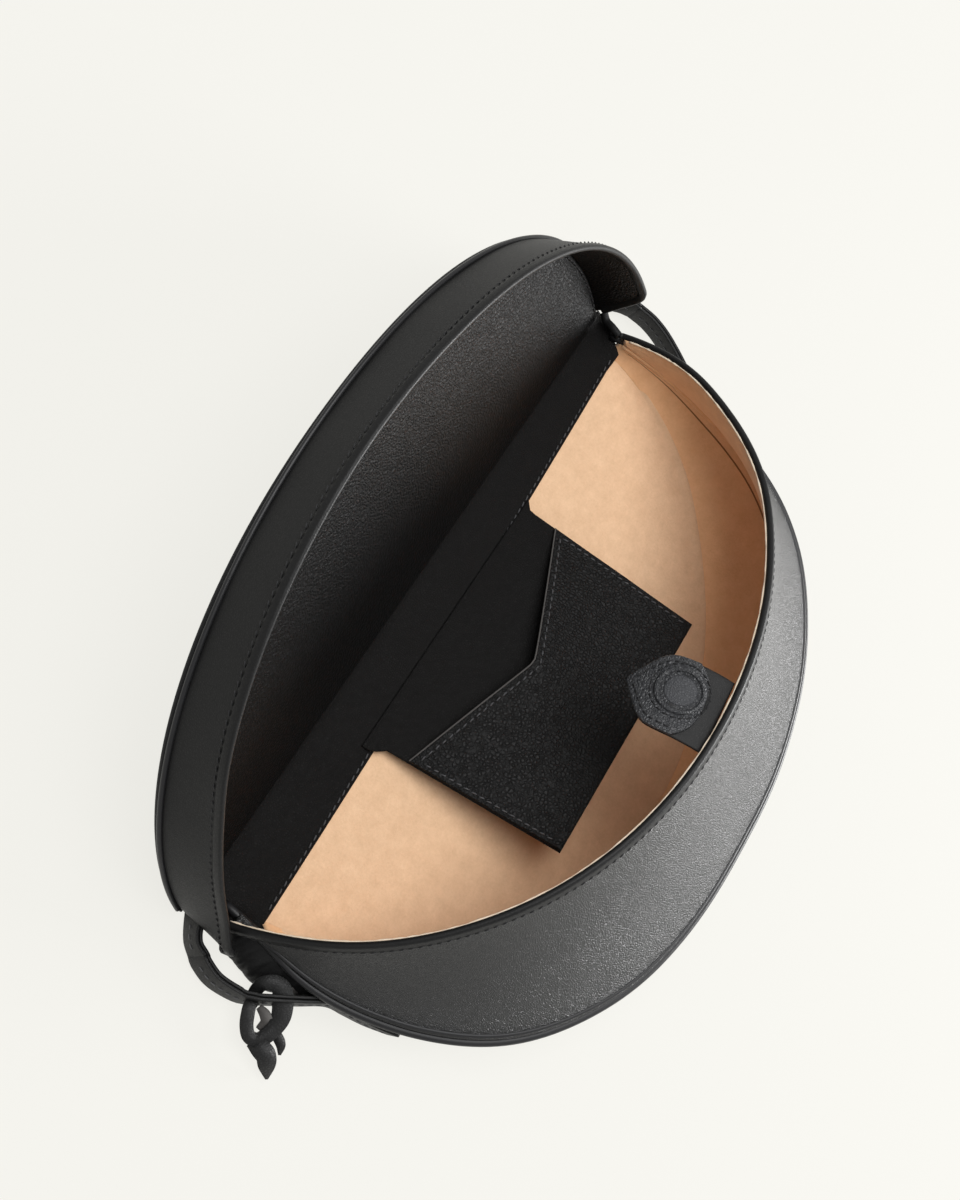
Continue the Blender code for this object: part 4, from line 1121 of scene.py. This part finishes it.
def strap_pair(course, names, nodes, body, cut_end=False):
    """Two layers of strap on edge, their centre stitching and a lighter cut end."""
    path, out = course
    profile = slab_profile(STRAP_LAYER, STRAP_HEIGHT, 0.00035)
    offset = 0.5 * (STRAP_LAYER + LAYER_GAP)
    made = []
    for name, cad, way in zip(names, nodes, (1.0, -1.0)):
        middle = path + out * offset * way
        made.append(ribbon(name, middle, out, profile, smooth_leather, body, [cad], "smooth_leather"))
    for way, label in ((1.0, "_stitches"), (-1.0, "_inner_stitches")):
        face = path + out * (offset + 0.5 * STRAP_LAYER) * way
        made.append(stitches(names[0] + label, face[2:-2], out[2:-2] * way, body))
    if cut_end:
        along = unit(path[-1] - path[-2])
        run = np.array([path[-1] + along * 0.00005, path[-1] + along * 0.0004])
        profile = slab_profile(2 * STRAP_LAYER, STRAP_HEIGHT - 0.0006, 0.0003)
        ribbon(names[0] + "_cut", run, out[-2:], profile, raw_edge_look, body)
    return made


def make_strap():
    for side, stops in (("left", STRAP_LEFT), ("right", STRAP_RIGHT)):
        names = ("strap_end_leather_" + side, "strap_end_inner_" + side)
        nodes = ("strap_end_" + side, "strap_end_lining_" + side)
        strap_pair(strap_course(stops), names, nodes, "bag_body", cut_end=True)
    names = ("strap_outer_leather", "strap_inner_leather")
    for made in strap_pair(strap_course(STRAP_BACK), names, ("strap_outer", "strap_inner"), None):
        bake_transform(made)


# Knotted lace, as route points (x, y, z) in millimetres and the thong's width there
LACE_BAND = ((144.2, 18.4, 0.0, 4.0), (141.2, 16.7, 4.0, 4.2), (138.6, 16.4, 8.0, 4.6),
             (136.7, 19.1, 9.0, 5.4), (137.1, 22.5, 8.5, 6.4), (140.0, 25.6, 7.0, 6.8),
             (143.4, 27.8, 6.0, 6.4), (146.7, 28.5, 5.0, 5.6), (150.5, 28.0, 4.0, 5.0),
             (153.4, 26.4, 3.0, 4.6), (153.9, 23.4, 3.0, 4.4), (151.9, 20.6, 4.0, 4.4),
             (149.1, 18.6, 5.0, 4.4), (146.2, 17.5, 5.0, 4.2), (143.0, 18.8, 2.0, 4.0))
LACE_TAIL = ((153.8, 26.0, 1.5, 5.6), (154.9, 28.7, 3.4, 6.4), (155.8, 31.6, 3.6, 6.4),
             (158.0, 34.2, 1.8, 5.4), (160.7, 37.6, -1.8, 0.9))
LACE_STUB = ((148.5, 30.6, 3.0, 3.4), (150.1, 33.9, 2.6, 3.2), (152.6, 36.1, 0.6, 0.9))
LACE_SLIT = ((135.0, 22.0, 6.4, 3.0), (134.0, 25.9, 5.4, 4.2), (132.8, 29.9, 3.6, 1.0))
LACE_INNER = ((144.9, 20.6, 4.0, 2.0), (145.9, 23.6, 4.6, 3.6), (147.4, 25.3, 4.0, 3.6),
              (150.2, 25.3, 2.0, 2.4))


LACE_THICK = 0.0012
LACE_STEP = 0.0006
LACE_FACE = np.array((0.30, -0.15, 0.95))


def make_thong(name, stops, look, nodes=()):
    """Flat thong through the stops, whose broad side faces up and out."""
    curve = curve_through([stop[:3] for stop in stops], 10) * 0.001
    width = curve_through([(k, stop[3], 0.0) for k, stop in enumerate(stops)], 10)[:, 1] * 0.001
    reach = reach_of(curve)
    goals = np.linspace(0.0, reach[-1], int(reach[-1] / LACE_STEP) + 1)
    width = np.interp(goals, reach, width)[:, None]
    path = at_reach(curve, curve, goals)
    out, up = np.array(slab_profile(LACE_THICK, 1.0, 0.0004, 2)).T
    shape = np.stack([np.broadcast_to(out, (len(path), len(out))), up * width], -1)
    along = unit(np.gradient(path, axis=0))
    face = unit(LACE_FACE - along * (along @ LACE_FACE)[:, None])
    return ribbon(name, path, face, shape, look, "lace", nodes, "smooth_leather")


def make_lace():
    make_thong("strap_lace_thong", LACE_BAND, lace_leather, ["strap_lace"])
    make_thong("lace_tail", LACE_TAIL, lace_leather)
    make_thong("lace_stub", LACE_STUB, lace_leather)
    make_thong("lace_slit_end", LACE_SLIT, worn_edge)
    make_thong("lace_inner_tail", LACE_INNER, worn_edge)


# Stage, light and camera
FLOOR_DROP = 0.0003
FLOOR_TONE = (0.060, 0.059, 0.056, 1.0)
FLOOR_GLOW = (1.0, 0.99, 0.935, 1.0)
GLOW_STRENGTH = 0.80
STUDIO_STRENGTH = 0.50
CAMERA_PLACE = (0.2068, -0.1824, 0.5058)
CAMERA_RIGHT = (-0.52058, 0.74433, 0.41829)
CAMERA_BACK = (0.36931, -0.24542, 0.89632)


def make_stage():
    mesh = bpy.data.meshes.new("floor")
    mesh.from_pydata([(-3, -3, 0), (3, -3, 0), (3, 3, 0), (-3, 3, 0)], [], [(0, 1, 2, 3)])
    floor = bpy.data.objects.new("floor", mesh)
    floor.location.z = -FLOOR_DROP
    bpy.context.scene.collection.objects.link(floor)
    look, _, shader = new_material("pale_floor", 0.9)
    shader.inputs["Base Color"].default_value = FLOOR_TONE
    shader.inputs["Emission Color"].default_value = FLOOR_GLOW
    shader.inputs["Emission Strength"].default_value = GLOW_STRENGTH
    mesh.materials.append(look)


def soft_light(name, place, aim, size, power):
    light = bpy.data.lights.new(name, "AREA")
    light.shape = "DISK"
    light.size = size
    light.energy = power
    made = bpy.data.objects.new(name, light)
    made.location = place
    made.rotation_mode = "QUATERNION"
    made.rotation_quaternion = (Vector(aim) - Vector(place)).to_track_quat("-Z", "Y")
    bpy.context.scene.collection.objects.link(made)


def make_light():
    scene_world = bpy.data.worlds.new("studio")
    scene_world.use_nodes = True
    background = scene_world.node_tree.nodes["Background"]
    background.inputs["Color"].default_value = (1.0, 1.0, 1.0, 1.0)
    background.inputs["Strength"].default_value = STUDIO_STRENGTH
    bpy.context.scene.world = scene_world
    soft_light("key_light", (-0.18, -0.12, 1.40), (0.0, 0.02, 0.0), 1.2, 18.5)
    soft_light("wall_sheen_light", (-0.66, 1.16, 0.40), (0.0, 0.03, 0.03), 0.7, 33.0)
    bpy.context.scene.view_settings.view_transform = "Standard"


def make_camera():
    camera = bpy.data.cameras.new("camera")
    camera.sensor_width = 36.0
    camera.lens = 48.05
    camera.shift_x = 0.0306
    camera.shift_y = 0.0139
    made = bpy.data.objects.new("camera", camera)
    right = Vector(CAMERA_RIGHT).normalized()
    back = Vector(CAMERA_BACK).normalized()
    up = back.cross(right).normalized()
    right = up.cross(back)
    turn = Matrix((right, up, back)).transposed().to_4x4()
    made.matrix_world = Matrix.Translation(CAMERA_PLACE) @ turn
    bpy.context.scene.collection.objects.link(made)
    bpy.context.scene.camera = made


make_back_panel()
make_suede_floor()
make_gusset()
make_fold()
make_wall()
make_rim()
make_spine()
make_flap()
make_lip()
make_flap_magnet()
make_tab()
make_pocket()
make_strap()
make_lace()
make_stage()
make_light()
make_camera()
